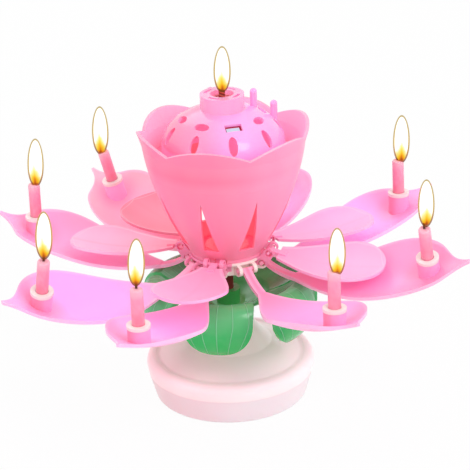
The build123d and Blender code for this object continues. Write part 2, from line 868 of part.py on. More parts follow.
def make_hub():
    """The cream ring under the cup: boss, web, wall, top flange and a clip at each petal station."""
    inner = hub_wall_radius - hub_wall
    hub = post((0, 0), hub_boss_radius, hub_bottom, hub_top)
    hub = hub + post((0, 0), hub_wall_radius - hub_wall / 2, hub_bottom, hub_bottom + hub_web)
    hub = hub + tube((0, 0), hub_wall_radius, inner, hub_bottom, hub_top)
    hub = hub + tube((0, 0), hub_flange_radius, inner, hub_top - hub_flange, hub_top)
    for number in range(station_count):
        station = number + 1
        bearing = station_bearing(station)
        for side in (-1, 1):
            hub = hub + turned(hub_lug(side, station in inner_rests), bearing)
    for number in range(station_count):
        station = number + 1
        bearing = station_bearing(station)
        hub = hub - turned(hinge_drill(hinge_radius, hinge_height, hinge_hole_radius), bearing)
        if station in inner_rests:
            inner_drill = hinge_drill(inner_hinge_radius, inner_hinge_height, inner_hole_radius)
            hub = hub - turned(inner_drill, bearing)
    keep_clear = lathe(closed_outline(
        (0, hub_top),
        ((cup_foot_radius + cup_step + part_gap, hub_top),),
        ((cup_foot_radius + cup_step + part_gap, hub_top + cup_foot_height),),
        ((cup_knee_radius, cup_knee_height),),
        ((0, cup_knee_height),)))
    hub = hub - keep_clear
    tab = block((cup_foot_radius - cup_wall + tab_thickness / 2, 0), (tab_thickness, tab_width),
                hub_top - hub_flange, hub_top + tab_height)
    hub = hub + around(tab, tab_count, tab_bearing)
    window_ring = (hub_boss_radius + inner) / 2
    window = post((window_ring, 0), hub_window_radius, hub_bottom - overrun, hub_bottom + hub_web + overrun)
    hub = hub - around(window, hub_window_count, tab_bearing)
    return hub - post((0, 0), top_seat_radius + fit_clearance, hub_bottom - overrun, hub_top + overrun)


def station_bearing(station):
    """The bearing of a petal station, counted from 1."""
    return station_phase + (station - 1) * full_turn / station_count


def cup_wall_outline(inset):
    """The cup's wall between its outside and one inset, as radius and height."""
    foot_top = cup_bottom + cup_foot_height
    step_radius = cup_foot_radius + cup_step
    points = [(step_radius, foot_top), (cup_knee_radius, cup_knee_height),
              (cup_belly_radius, cup_belly_height), (cup_shoulder_radius, cup_shoulder_height),
              (cup_valley_radius, cup_valley_height), (cup_lip_radius, cup_lip_height)]
    inner = [(radius - inset, height) for radius, height in points]
    return closed_outline(
        (cup_foot_radius, cup_bottom),
        ((cup_foot_radius, foot_top),),
        (points[0],),
        (points[1], points[2]),
        (points[3], points[4]),
        (points[5],),
        (inner[5],),
        (inner[4],),
        (inner[3], inner[2]),
        (inner[1], inner[0]),
        ((cup_foot_radius - inset, foot_top),),
        ((cup_foot_radius - inset, cup_bottom),))


def lobe_cutter():
    """The outline that one rim lobe keeps, drawn outwards along X."""
    half = cup_lip_radius * math.tan(math.radians(full_turn / lobe_count / 2))
    outline = closed_outline(
        (-half, slot_apex),
        ((half, slot_apex),),
        ((half, lobe_root),),
        ((0, lobe_top), (-half, lobe_root)))
    return radial_prism(outline, cup_foot_radius, cup_lip_radius + overrun)


def make_cup():
    """The pink cup: scalloped rim, tapered slots, foot ring and the ledge for the dome."""
    wall = lathe(cup_wall_outline(cup_wall))
    keep = around(lobe_cutter(), lobe_count, lobe_bearing)
    lower = post((0, 0), cup_lip_radius, cup_bottom, slot_apex + overrun)
    cup = wall & (keep + lower)
    cup = cup + post((0, 0), cup_foot_radius - cup_wall / 2, cup_bottom, cup_floor_top)
    ledge = lathe(closed_outline(
        (cup_shoulder_radius - cup_wall / 2, dome_ledge_height - 2 * dome_ledge_thickness),
        ((cup_shoulder_radius - cup_wall / 2, dome_ledge_height),),
        ((cup_shoulder_radius - cup_wall - dome_ledge_reach, dome_ledge_height),),
        ((cup_shoulder_radius - cup_wall - dome_ledge_reach, dome_ledge_height - dome_ledge_thickness),)))
    cup = cup + ledge
    slot = radial_prism(closed_outline((-slot_half_width, slot_base), ((slot_half_width, slot_base),),
                                       ((0, slot_apex),)),
                        hub_wall_radius, cup_lip_radius + overrun)
    cup = cup - around(slot, slot_count, slot_bearing)
    notch = block((cup_foot_radius, 0), (2 * cup_wall, notch_width), cup_bottom - overrun,
                  cup_bottom + notch_height)
    cup = cup - around(notch, tab_count, tab_bearing)
    return cup - post((0, 0), flower_screw_radius + part_gap, cup_bottom - overrun, cup_floor_top + overrun)


def dome_outline(inset):
    """Half of the dome's section: straight skirt below and an elliptical top."""
    radius = dome_radius - inset
    rise = dome_rise - inset
    centre = (0, dome_centre_height)
    skirt_bottom = dome_ledge_height
    ellipse = EllipticalCenterArc(centre, radius, rise, 0, arc_size=quarter_turn)
    edges = [ellipse,
             Line((0, dome_centre_height + rise), (0, skirt_bottom)),
             Line((0, skirt_bottom), (radius, skirt_bottom)),
             Line((radius, skirt_bottom), (radius, dome_centre_height))]
    return make_face(edges)


def dome_normal_frame(bearing, ring):
    """A plane on the dome's outside with Z along its normal and X along the parallel."""
    share = ring / dome_radius
    height = dome_centre_height + dome_rise * math.sqrt(1 - share * share)
    slope = math.atan2((height - dome_centre_height) / (dome_rise * dome_rise),
                       ring / (dome_radius * dome_radius))
    east, north = on_circle(1, bearing)
    normal = (east * math.cos(slope), north * math.cos(slope), math.sin(slope))
    return Plane(origin=(ring * east, ring * north, height), x_dir=(-north, east, 0), z_dir=normal)


def dome_hole(bearing, ring, outline):
    """A cutter through the dome's wall, square to it."""
    return extrude(dome_normal_frame(bearing, ring) * outline, 2 * dome_wall, both=True)


def dome_peg(bearing, ring, top):
    """A round-ended peg that stands on the dome."""
    place = on_circle(ring, bearing)
    share = (ring + peg_radius) / dome_radius
    foot = dome_centre_height + (dome_rise - dome_wall / 2) * math.sqrt(1 - share * share)
    peg = post(place, peg_radius, foot, top - peg_radius)
    return peg + Pos(place[0], place[1], top - peg_radius) * Sphere(peg_radius)


def make_dome():
    """The vented dome: flange, skirt, two rows of holes, front window, pegs and slotted collar."""
    dome = lathe(dome_outline(0)) - (lathe(dome_outline(dome_wall)) +
                                     post((0, 0), dome_radius - dome_wall, dome_ledge_height - overrun,
                                          dome_ledge_height + overrun))
    flange_radius = cup_shoulder_radius - cup_wall - dome_edge_gap
    dome = dome + tube((0, 0), flange_radius, dome_radius - dome_wall, dome_ledge_height,
                       dome_ledge_height + dome_flange)
    for number in range(upper_hole_count):
        bearing = upper_hole_bearing + number * full_turn / upper_hole_count
        if number == 0:
            outline = Rectangle(*window_size)
        else:
            outline = Ellipse(*upper_hole_size)
        dome = dome - dome_hole(bearing, upper_hole_ring, outline)
    for number in range(lower_hole_count):
        bearing = lower_hole_bearing + number * full_turn / lower_hole_count
        dome = dome - dome_hole(bearing, lower_hole_ring, Ellipse(*lower_hole_size))
    for bearing, ring, top in peg_places:
        dome = dome + dome_peg(bearing, ring, top)
    dome = dome + post((0, 0), collar_radius, collar_bottom, collar_top)
    dome = dome - post((0, 0), collar_bore_radius, collar_bottom - 2 * dome_wall, collar_top + overrun)
    slot_ring = tube((0, 0), collar_slot_radius + collar_slot_width / 2,
                     collar_slot_radius - collar_slot_width / 2, collar_top - collar_slot_depth, collar_top)
    half = collar_slot_angle / 2
    reach = 2 * collar_radius
    wedge = closed_outline((0, 0), (on_circle(reach, -half),), (on_circle(reach, half),))
    sectors = around(rounded_slab(wedge, collar_top - 2 * collar_slot_depth, collar_top + overrun),
                     collar_slot_count, upper_hole_bearing - quarter_turn / 2)
    return dome - (slot_ring & sectors)


def make_candle_tube():
    """The tube down the middle of the cup that holds the centre candle."""
    top = collar_bottom - fit_clearance
    outline = closed_outline(
        (tube_narrow_radius, cup_floor_top),
        ((tube_flange_radius, cup_floor_top),),
        ((tube_flange_radius, cup_floor_top + tube_flange),),
        ((tube_radius, cup_floor_top + tube_flange),),
        ((tube_radius, top),),
        ((tube_bore_radius, top),),
        ((tube_bore_radius, tube_ledge_height),),
        ((tube_narrow_radius, tube_ledge_height),))
    return lathe(outline)


def make_fountain_candle():
    """The paper tube of the centre candle, with a rolled rim."""
    tube_body = post((0, 0), fountain_radius, tube_ledge_height, fountain_top)
    dish = post((0, 0), fountain_radius - fountain_rim, fountain_top - fountain_rim, fountain_top + overrun)
    return tube_body - dish


def make_fountain_fuse():
    return post((0, 0), fuse_radius, fountain_top - fountain_rim, fuse_top)


def make_flower_screw():
    """The screw that holds cup and hub down on the spindle."""
    head = post((0, 0), flower_screw_head_radius, cup_floor_top, cup_floor_top + flower_screw_head_height)
    return head + post((0, 0), flower_screw_radius, cup_floor_top - flower_screw_length, cup_floor_top)


# Petals


def blade_line(root, length, low, rise, shares, shift):
    """The line along a petal's blade as reach and height, moved up by a shift."""
    return [(root + place * length, low + share * rise + shift) for place, share in shares]


def blade_profile(top, under):
    """A blade seen from its side, between the line of its top and that of its underside."""
    return make_face([Spline(*top), Line(top[-1], under[-1]), Spline(*under), Line(under[0], top[0])])


def outer_line(shift):
    return blade_line(strap_end_radius, petal_length, blade_low_height, blade_rise, blade_rise_shares, shift)


def space_under_blade():
    """The space below the blade's middle, which trims the foot of the candle socket."""
    line = outer_line(0)
    bottom = blade_low_height - blade_thickness
    corners = ((line[-1][0], bottom), (line[0][0], bottom))
    return make_face([Spline(*line), Line(line[-1], corners[0]), Line(*corners), Line(corners[1], line[0])])


def outer_plan():
    """The outer petal from above: slim root, widest past the middle, hollow run in to a pointed tip."""
    left = [(strap_end_radius + place * petal_length, width * petal_half_width)
            for place, width in blade_width_shares]
    right = [(reach, -half_width) for reach, half_width in left]
    return make_face([Spline(*right), Line(right[-1], left[-1]), Spline(*left), Line(left[0], right[0])])


def cupped(profile, plan, axis_height, bottom, top):
    """A side profile bent about a line above the petal, then trimmed to its plan."""
    axis = Axis((0, 0, axis_height), (1, 0, 0))
    face = Plane.XZ * profile
    half = revolve(face, axis, blade_bend_angle)
    band = half + revolve(face, axis, -blade_bend_angle)
    return band & rounded_slab(plan, bottom, top)


def strap_section(place, slope, roll, width, thickness):
    """A cross-section of a petal's arm at a radius and height, square to its run."""
    section = Plane.YZ * Rectangle(width, thickness)
    return Pos(place[0], 0, place[1]) * Rot(0, -slope, 0) * Rot(roll, 0, 0) * section


def strap(start, end, sag, roll, width, thickness):
    """A thin arm between two points of radius and height, sagging a little and twisted towards its end."""
    middle = ((start[0] + end[0]) / 2, (start[1] + end[1]) / 2 - sag)
    slope = math.degrees(math.atan2(end[1] - start[1], end[0] - start[0]))
    first_slope = math.degrees(math.atan2(middle[1] - start[1], middle[0] - start[0]))
    last_slope = math.degrees(math.atan2(end[1] - middle[1], end[0] - middle[0]))
    return loft([strap_section(start, first_slope, 0, width, thickness),
                 strap_section(middle, slope, roll / 2, width, thickness),
                 strap_section(end, last_slope, roll, width, thickness)])


def cross_pin(radius, height, pin_radius):
    """A hinge pin across the petal's root."""
    length = lug_gap + 2 * lug_thickness
    return Pos(radius, 0, height) * Cylinder(pin_radius, length, rotation=(90, 0, 0))


def rolled(shape, height, roll):
    """A petal's blade rolled about the line along its middle at one height."""
    return Pos(0, 0, height) * Rot(roll, 0, 0) * Pos(0, 0, -height) * shape


def make_outer_blade():
    """The blade of an outer petal on the X axis, with its candle socket."""
    profile = blade_profile(outer_line(blade_thickness / 2), outer_line(-blade_thickness / 2))
    blade = cupped(profile, outer_plan(), blade_cup_height, blade_low_height - 2 * overrun,
                   blade_cup_height)
    place = (socket_radius_place, 0)
    socket = post(place, socket_radius, blade_low_height, socket_top)
    under = cupped(space_under_blade(), outer_plan(), blade_cup_height, 0, blade_cup_height)
    return blade + (socket - under) - post(place, candle_radius + candle_fit, candle_bottom,
                                           socket_top + overrun)


def make_outer_petal(roll):
    """An outer petal on the X axis, lying open, with its blade rolled."""
    start = (hinge_radius, hinge_height)
    end = (strap_end_radius + strap_width, blade_low_height)
    petal = rolled(make_outer_blade(), blade_low_height, roll)
    petal = petal + strap(start, end, strap_sag, roll, strap_width, strap_thickness)
    return petal + cross_pin(hinge_radius, hinge_height, hinge_pin_radius)


def make_drip_ring():
    place = (socket_radius_place, 0)
    return tube(place, drip_ring_radius, candle_radius + candle_fit, socket_top, drip_ring_top)


def make_candle():
    """A small candle with a rounded shoulder, and its wick."""
    shoulder = candle_top - candle_edge
    bend = candle_edge * (1 - 1 / math.sqrt(2))
    wax = lathe(closed_outline(
        (0, candle_bottom),
        ((candle_radius, candle_bottom),),
        ((candle_radius, shoulder),),
        ((candle_radius - bend, candle_top - bend), (candle_radius - candle_edge, candle_top)),
        ((0, candle_top),)))
    wick = post((0, 0), wick_radius, candle_top, candle_top + wick_length)
    return [Pos(socket_radius_place, 0, 0) * wax, Pos(socket_radius_place, 0, 0) * wick]


def inner_line(shift):
    return blade_line(inner_root_radius, inner_length, inner_low_height, inner_rise, inner_rise_shares, shift)


def inner_plan():
    """The inner petal from above: a long egg shape, widest towards its round tip."""
    left = [(inner_root_radius + place * inner_length, width * inner_half_width)
            for place, width in inner_width_shares]
    right = [(reach, -half_width) for reach, half_width in left]
    tip = (inner_root_radius + inner_length, 0)
    return make_face([Spline(*right, tip, *reversed(left)), Line(left[0], right[0])])


def make_inner_petal(roll):
    """An inner petal on the X axis, lying level, with its blade rolled."""
    start = (inner_hinge_radius, inner_hinge_height)
    end = (inner_root_radius + inner_strap_width, inner_root_height)
    profile = blade_profile(inner_line(inner_thickness / 2), inner_line(-inner_thickness / 2))
    blade = cupped(profile, inner_plan(), inner_cup_height, inner_low_height - 2 * overrun,
                   inner_cup_height)
    petal = rolled(blade, inner_root_height, roll)
    petal = petal + strap(start, end, inner_strap_sag, roll, inner_strap_width, inner_strap_thickness)
    return petal + cross_pin(inner_hinge_radius, inner_hinge_height, inner_pin_radius)


def placed(shape, station, rest, radius, height):
    """A petal made on the X axis, tipped and yawed at its hinge and taken to its station."""
    yaw, tilt, _ = rest
    at_hinge = Pos(-radius, 0, -height) * shape
    tipped = Pos(radius, 0, height) * Rot(0, 0, yaw) * Rot(0, -tilt, 0) * at_hinge
    return turned(tipped, station_bearing(station))


def write(name, shape):
    """Write one node, as one solid or as a group of separate ones."""
    solids = shape if isinstance(shape, list) else [shape]
    if len(solids) == 1:
        export_step(solids[0], f"parts/{name}.step")
    else:
        export_step(Compound(children=solids), f"parts/{name}.step")


def write_base():
    write("base_housing", make_housing())
    write("base_cover", make_cover())
    write("neck_bush", make_neck_bush())
    write("battery", make_battery())
    write("battery_contacts", make_contacts())
    write("battery_door", make_battery_door())
    write("cover_screws", make_cover_screws())
    write("gear_plate", make_gear_plate())
    write("plate_screws", make_plate_screws())
    write("idler_pin", make_idler_pin())
    write("motor", make_motor())
    write("motor_shaft", make_motor_shaft())
    write("motor_pinion", make_motor_pinion())
    write("idler_gear", make_idler_gear())
    write("circuit_board", make_circuit_board())
    write("sound_chip", make_sound_chip())
    write("buzzer", make_buzzer())
    write("switch_body", make_switch_body())
    write("switch_slider", make_switch_slider())


def write_flower():
    write("spindle", make_spindle())
    write("spindle_gear", make_spindle_gear())
    write("leaf_calyx", make_calyx())
    write("hub_ring", make_hub())
    write("flower_cup", make_cup())
    write("vent_dome", make_dome())
    write("candle_tube", make_candle_tube())
    write("fountain_candle", make_fountain_candle())
    write("fountain_fuse", make_fountain_fuse())
    write("flower_screw", make_flower_screw())


def write_petals():
    """Write every petal as it rests, and the ring and candle that its socket carries."""
    ring = make_drip_ring()
    candle = make_candle()
    for station, rest in outer_rests.items():
        roll = rest[2]
        pieces = [placed(rolled(piece, blade_low_height, roll), station, rest, hinge_radius, hinge_height)
                  for piece in [ring] + candle]
        write(f"outer_petal_{station}",
              placed(make_outer_petal(roll), station, rest, hinge_radius, hinge_height))
        write(f"drip_ring_{station}", pieces[0])
        write(f"candle_{station}", pieces[1:])
    for station, rest in inner_rests.items():
        write(f"inner_petal_{station}",
              placed(make_inner_petal(rest[2]), station, rest, inner_hinge_radius, inner_hinge_height))


def main():
    os.makedirs("parts", exist_ok=True)
    write_base()
    write_flower()
    write_petals()


main()
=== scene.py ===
import math
import bpy
import bmesh
from mathutils import Matrix, Vector


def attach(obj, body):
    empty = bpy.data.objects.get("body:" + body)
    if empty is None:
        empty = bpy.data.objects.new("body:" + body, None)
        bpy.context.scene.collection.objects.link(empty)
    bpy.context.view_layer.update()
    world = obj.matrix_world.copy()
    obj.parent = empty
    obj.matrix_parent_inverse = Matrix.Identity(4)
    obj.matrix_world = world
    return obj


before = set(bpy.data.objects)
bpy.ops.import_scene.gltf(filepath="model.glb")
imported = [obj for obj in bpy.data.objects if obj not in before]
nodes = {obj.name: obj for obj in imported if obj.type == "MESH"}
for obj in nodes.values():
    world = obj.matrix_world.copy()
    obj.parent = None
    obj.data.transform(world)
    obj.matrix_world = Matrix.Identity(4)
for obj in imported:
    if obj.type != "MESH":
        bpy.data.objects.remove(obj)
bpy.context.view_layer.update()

# The ring of petals, in metres and degrees: eight stations, and each petal's yaw, upward tilt and roll
STATION_PHASE = 344.0
STATION_STEP = 45.0
OUTER_RESTS = {
    1: (-1.9, 1.9, 17.6),
    2: (-0.6, 1.2, -0.6),
    3: (-0.9, -0.4, 0.7),
    4: (5.5, 1.2, -15.7),
    5: (-3.6, 1.1, -2.6),
    6: (0.2, -0.3, -15.8),
    7: (-8.9, -0.8, -0.2),
    8: (-1.3, 1.6, -0.3),
}
INNER_RESTS = {
    1: (-3.8, -1.5, 8.0),
    2: (-8.5, 2.3, -1.7),
    3: (2.0, 0.0, 0.0),
    4: (12.0, 2.0, -8.0),
    5: (4.2, 0.2, 2.3),
    7: (-0.9, 6.9, 0.2),
}
OUTER_HINGE = (0.01475, 0.0, 0.057)
INNER_HINGE = (0.0176, 0.0, 0.0613)
OUTER_ROLL_HEIGHT = 0.05
INNER_ROLL_HEIGHT = 0.06016

# A socket and its candle, on a petal that lies along X
SOCKET_REACH = 0.0797
SOCKET_RADIUS = 0.0041
SOCKET_TOP = 0.064
CANDLE_TOP = 0.079
WICK_RADIUS = 0.0006

# Camera of the photograph, found from the object's known sizes
CAMERA_DISTANCE = 0.71279
CAMERA_ELEVATION = 22.943
CAMERA_ROLL = 1.793
CAMERA_AIM = (0.003266, 0.0, 0.065904)
CAMERA_LENS = 141.83
SENSOR_WIDTH = 36.0
CLIP_START = 0.01
CLIP_END = 20.0


def linear(channel):
    """One channel of a colour as written on a screen, 0 to 255, as linear light."""
    value = channel / 255.0
    return value / 12.92 if value <= 0.04045 else ((value + 0.055) / 1.055) ** 2.4


def rgb(red, green, blue):
    return (linear(red), linear(green), linear(blue), 1.0)


def mean_colour(first, second):
    return tuple((a + b) / 2.0 for a, b in zip(first, second))


BLACK = (0.0, 0.0, 0.0, 1.0)
WHITE = (1.0, 1.0, 1.0, 1.0)


class Paint:
    """A node material on one Principled shader, with short calls for its nodes."""

    # The mix node repeats its sockets for each kind of data; these are the places of its colours
    FIRST_COLOUR = 6
    SECOND_COLOUR = 7
    MIXED_COLOUR = 2

    def __init__(self, name, colour, rough=0.4, **sockets):
        self.material = bpy.data.materials.new(name)
        self.material.use_nodes = True
        self.material.diffuse_color = colour
        self.tree = self.material.node_tree
        self.tree.nodes.clear()
        self.shader = self.tree.nodes.new("ShaderNodeBsdfPrincipled")
        output = self.tree.nodes.new("ShaderNodeOutputMaterial")
        self.tree.links.new(self.shader.outputs["BSDF"], output.inputs["Surface"])
        self.colour(colour)
        self.rough(rough)
        for key, value in sockets.items():
            self.shader.inputs[key.replace("_", " ")].default_value = value
        self.places = self.tree.nodes.new("ShaderNodeTexCoord")
        self.point = self.places.outputs["Object"]

    def feed(self, socket, value):
        """Link a socket to another node's output, or set its number or colour."""
        if isinstance(value, bpy.types.NodeSocket):
            self.tree.links.new(value, socket)
        else:
            socket.default_value = value

    def spin(self, axis, degrees, centre=(0.0, 0.0, 0.0)):
        """From here on, the point is read after a turn about an axis through a centre."""
        node = self.tree.nodes.new("ShaderNodeVectorRotate")
        node.rotation_type = f"{axis}_AXIS"
        self.feed(node.inputs["Vector"], self.point)
        node.inputs["Center"].default_value = centre
        node.inputs["Angle"].default_value = math.radians(degrees)
        self.point = node.outputs["Vector"]

    def lay_out(self, station, rest, hinge, roll_height):
        """From here on, the point is read as on a petal that lies along X, level and straight."""
        yaw, tilt, roll = rest
        self.spin("Z", -(STATION_PHASE + STATION_STEP * (station - 1)))
        self.spin("Z", -yaw, hinge)
        self.spin("Y", tilt, hinge)
        self.spin("X", -roll, (0.0, 0.0, roll_height))

    def parts(self, vector=None):
        """X, Y and Z of a vector, or of the point."""
        node = self.tree.nodes.new("ShaderNodeSeparateXYZ")
        self.feed(node.inputs[0], vector or self.point)
        return node.outputs[0], node.outputs[1], node.outputs[2]

    def normal(self):
        return self.parts(self.places.outputs["Normal"])

    def calc(self, kind, first, second=0.0):
        node = self.tree.nodes.new("ShaderNodeMath")
        node.operation = kind
        self.feed(node.inputs[0], first)
        self.feed(node.inputs[1], second)
        return node.outputs[0]

    def times(self, first, second):
        return self.calc("MULTIPLY", first, second)

    def plus(self, first, second):
        return self.calc("ADD", first, second)

    def minus(self, first, second):
        return self.calc("SUBTRACT", first, second)

    def apart(self, value, place=0.0):
        """How far a value is from a place, either way."""
        return self.calc("ABSOLUTE", self.minus(value, place))

    def span(self, value, low, high, start=0.0, end=1.0):
        """Start below low, end above high, and a smooth step between."""
        node = self.tree.nodes.new("ShaderNodeMapRange")
        node.interpolation_type = "SMOOTHSTEP"
        self.feed(node.inputs["Value"], value)
        for key, number in (("From Min", low), ("From Max", high), ("To Min", start), ("To Max", end)):
            node.inputs[key].default_value = number
        return node.outputs["Result"]

    def fade(self, value, low, high, start=1.0):
        """Start below low, nothing above high."""
        return self.span(value, low, high, start, 0.0)

    def radius(self, centre=(0.0, 0.0)):
        """Distance from an upright line."""
        x, y, _ = self.parts()
        across = self.minus(x, centre[0])
        along = self.minus(y, centre[1])
        return self.calc("SQRT", self.plus(self.times(across, across), self.times(along, along)))

    def ramp(self, value, stops, kind="LINEAR"):
        """A colour for each value, from stops of a place and a colour."""
        node = self.tree.nodes.new("ShaderNodeValToRGB")
        node.color_ramp.interpolation = kind
        self.feed(node.inputs[0], value)
        elements = node.color_ramp.elements
        while len(elements) < len(stops):
            elements.new(0.5)
        for element, (place, colour) in zip(elements, stops):
            element.position = place
            element.color = colour
        return node.outputs[0]

    def mix(self, share, first, second):
        node = self.tree.nodes.new("ShaderNodeMix")
        node.data_type = "RGBA"
        self.feed(node.inputs[0], share)
        self.feed(node.inputs[self.FIRST_COLOUR], first)
        self.feed(node.inputs[self.SECOND_COLOUR], second)
        return node.outputs[self.MIXED_COLOUR]

    def noise(self, scale, detail=2.0, vector=None):
        node = self.tree.nodes.new("ShaderNodeTexNoise")
        self.feed(node.inputs["Vector"], vector or self.point)
        node.inputs["Scale"].default_value = scale
        node.inputs["Detail"].default_value = detail
        return node.outputs["Fac"]

    def mottle(self, colour, amount, scale=45.0):
        """The slight unevenness of a moulding's colour."""
        shade = self.span(self.noise(scale), 0.3, 0.7, 1.0 - amount, 1.0 + amount)
        node = self.tree.nodes.new("ShaderNodeVectorMath")
        node.operation = "SCALE"
        self.feed(node.inputs[0], colour if isinstance(colour, bpy.types.NodeSocket) else colour[:3])
        self.feed(node.inputs["Scale"], shade)
        return node.outputs[0]

    def bump(self, height, distance):
        node = self.tree.nodes.new("ShaderNodeBump")
        node.inputs["Distance"].default_value = distance
        self.feed(node.inputs["Height"], height)
        self.feed(self.shader.inputs["Normal"], node.outputs[0])

    def grain(self, scale=900.0, distance=0.00003):
        """The fine surface of moulded plastic."""
        self.bump(self.noise(scale, 3.0), distance)

    def colour(self, value):
        self.feed(self.shader.inputs["Base Color"], value)

    def rough(self, value):
        self.feed(self.shader.inputs["Roughness"], value)

    def light(self, colour, strength):
        """Light that the surface gives by itself."""
        self.feed(self.shader.inputs["Emission Color"], colour)
        self.feed(self.shader.inputs["Emission Strength"], strength)


def soft_plastic(name, colour, rough=0.36, depth=0.0025, share=0.25, **sockets):
    """Moulded plastic that lets a little light through."""
    paint = Paint(name, colour, rough, Subsurface_Weight=share, Subsurface_Scale=depth, IOR=1.45,
                  Specular_IOR_Level=0.4, **sockets)
    paint.shader.inputs["Subsurface Radius"].default_value = (1.0, 0.45, 0.55)
    return paint


def facing_out(paint, x, y):
    """Above 0 on faces that look away from the flower's axis, below 0 on those that look at it."""
    across, along, _ = paint.normal()
    return paint.plus(paint.times(across, x), paint.times(along, y))


# Bearing of the lit right side, as the share of Y that is taken off X
RIGHT_SIDE_SLANT = 0.3


def towards_right(paint, x, y):
    return paint.minus(x, paint.times(y, RIGHT_SIDE_SLANT))


# Painted glow: warm emission that lifts the thin petals where they are in shade, as light through them
# would; twice as much on the one behind the cup's left side, and half as much on the inner petals
PAINTED_WARM_GLOW = rgb(254, 124, 160)
PETAL_LIGHT = 0.12
OUTER_LIGHTS = {number: PETAL_LIGHT for number in OUTER_RESTS} | {4: 2.0 * PETAL_LIGHT}
INNER_LIGHT = PETAL_LIGHT / 2.0

# Half width of an outer and an inner petal along its reach, both as shares of these
REACH_SCALE = 0.1
WIDTH_SCALE = 0.02
OUTER_WIDTH_SHARES = ((0.27, 0.096), (0.38, 0.365), (0.5, 0.62), (0.64, 0.8), (0.75, 0.76), (0.84, 0.51),
                      (0.88, 0.265), (0.955, 0.03))
INNER_WIDTH_SHARES = ((0.21, 0.2085), (0.2932, 0.389), (0.3972, 0.605), (0.5012, 0.695),
                      (0.5844, 0.5), (0.626, 0.0))

# The painted highlight on an outer petal, a magenta patch where the light falls: its middle along the
# reach, how far it goes, and its share
HIGHLIGHT_REACH = 0.058
HIGHLIGHT_HALF_LENGTH = 0.026
HIGHLIGHT_HALF_WIDTH = 0.016
HIGHLIGHT_SHARES = {1: 0.25, 2: 0.5, 3: 0.5, 4: 0.3, 5: 0.2, 6: 0.9, 7: 0.5, 8: 0.5}

# The darker ring of painted shade round a socket's foot, the painted highlight along a petal's edge, the
# painted shade along an inner petal's middle crease, and the painted highlight on the line just inside an
# inner petal's edge
FOOT_SHADE_SPREAD = 0.0075
FOOT_SHADE_SHARE = 0.55
SOCKET_EDGE = 0.0003
LIT_EDGE_STRETCH = (0.0002, 0.0012)
LIT_EDGE_SHARE = 0.45
CREASE_HALF_WIDTH = 0.0016
CREASE_SHADE_SHARE = 0.2
LINE_INSET = 0.0007
LINE_STRETCH = (0.0002, 0.0007)
INSET_HIGHLIGHT_SHARE = 0.35

# The warm shaded and the cool lit colour of each petal: painted shade and light, set petal by petal by how
# the light falls on it
OUTER_TINTS = {
    1: (rgb(254, 156, 194), rgb(254, 170, 212)),
    2: (rgb(254, 172, 222), rgb(254, 186, 246)),
    3: (rgb(254, 160, 204), rgb(254, 180, 226)),
    4: (rgb(254, 186, 202), rgb(254, 190, 210)),
    5: (rgb(254, 172, 220), rgb(254, 176, 218)),
    6: (rgb(254, 180, 224), rgb(255, 182, 250)),
    7: (rgb(254, 176, 222), rgb(254, 188, 240)),
    8: (rgb(254, 164, 208), rgb(254, 182, 234)),
}
INNER_TINTS = {
    1: (rgb(254, 166, 206), rgb(254, 182, 222)),
    2: (rgb(254, 164, 208), rgb(254, 182, 228)),
    3: (rgb(253, 146, 182), rgb(254, 170, 220)),
    4: (rgb(253, 130, 154), rgb(254, 143, 170)),
    5: (rgb(253, 142, 170), rgb(254, 188, 222)),
    7: (rgb(254, 164, 202), rgb(254, 184, 224)),
}


def from_edge(paint, x, y, shares):
    """Distance in from a petal's long edges."""
    stops = [(place, (width, width, width, 1.0)) for place, width in shares]
    width = paint.ramp(paint.calc("DIVIDE", x, REACH_SCALE), stops, "CARDINAL")
    return paint.minus(paint.times(width, WIDTH_SCALE), paint.apart(y))


def candle_tip(number):
    """The top of a small candle's wax, where its wick comes out, worked out from how its petal rests."""
    yaw, tilt, roll = OUTER_RESTS[number]
    hinge = Vector(OUTER_HINGE)
    middle = Vector((0.0, 0.0, OUTER_ROLL_HEIGHT))
    tip = Vector((SOCKET_REACH, 0.0, CANDLE_TOP)) - middle
    tip = Matrix.Rotation(math.radians(roll), 3, "X") @ tip + middle - hinge
    tip = Matrix.Rotation(math.radians(-tilt), 3, "Y") @ tip
    tip = Matrix.Rotation(math.radians(yaw), 3, "Z") @ tip + hinge
    bearing = STATION_PHASE + STATION_STEP * (number - 1)
    return Matrix.Rotation(math.radians(bearing), 3, "Z") @ tip


def socket_colour(paint, number):
    """A socket is painted deeper pink on its left, as shade on the side away from the light."""
    left_to_right = paint.parts(paint.places.outputs["Object"])[0]
    across = paint.minus(left_to_right, candle_tip(number).x)
    return paint.ramp(paint.span(across, -SOCKET_RADIUS, SOCKET_RADIUS), (
        (0.0, rgb(251, 146, 176)),
        (0.35, rgb(253, 166, 208)),
        (1.0, rgb(254, 176, 222)),
    ))


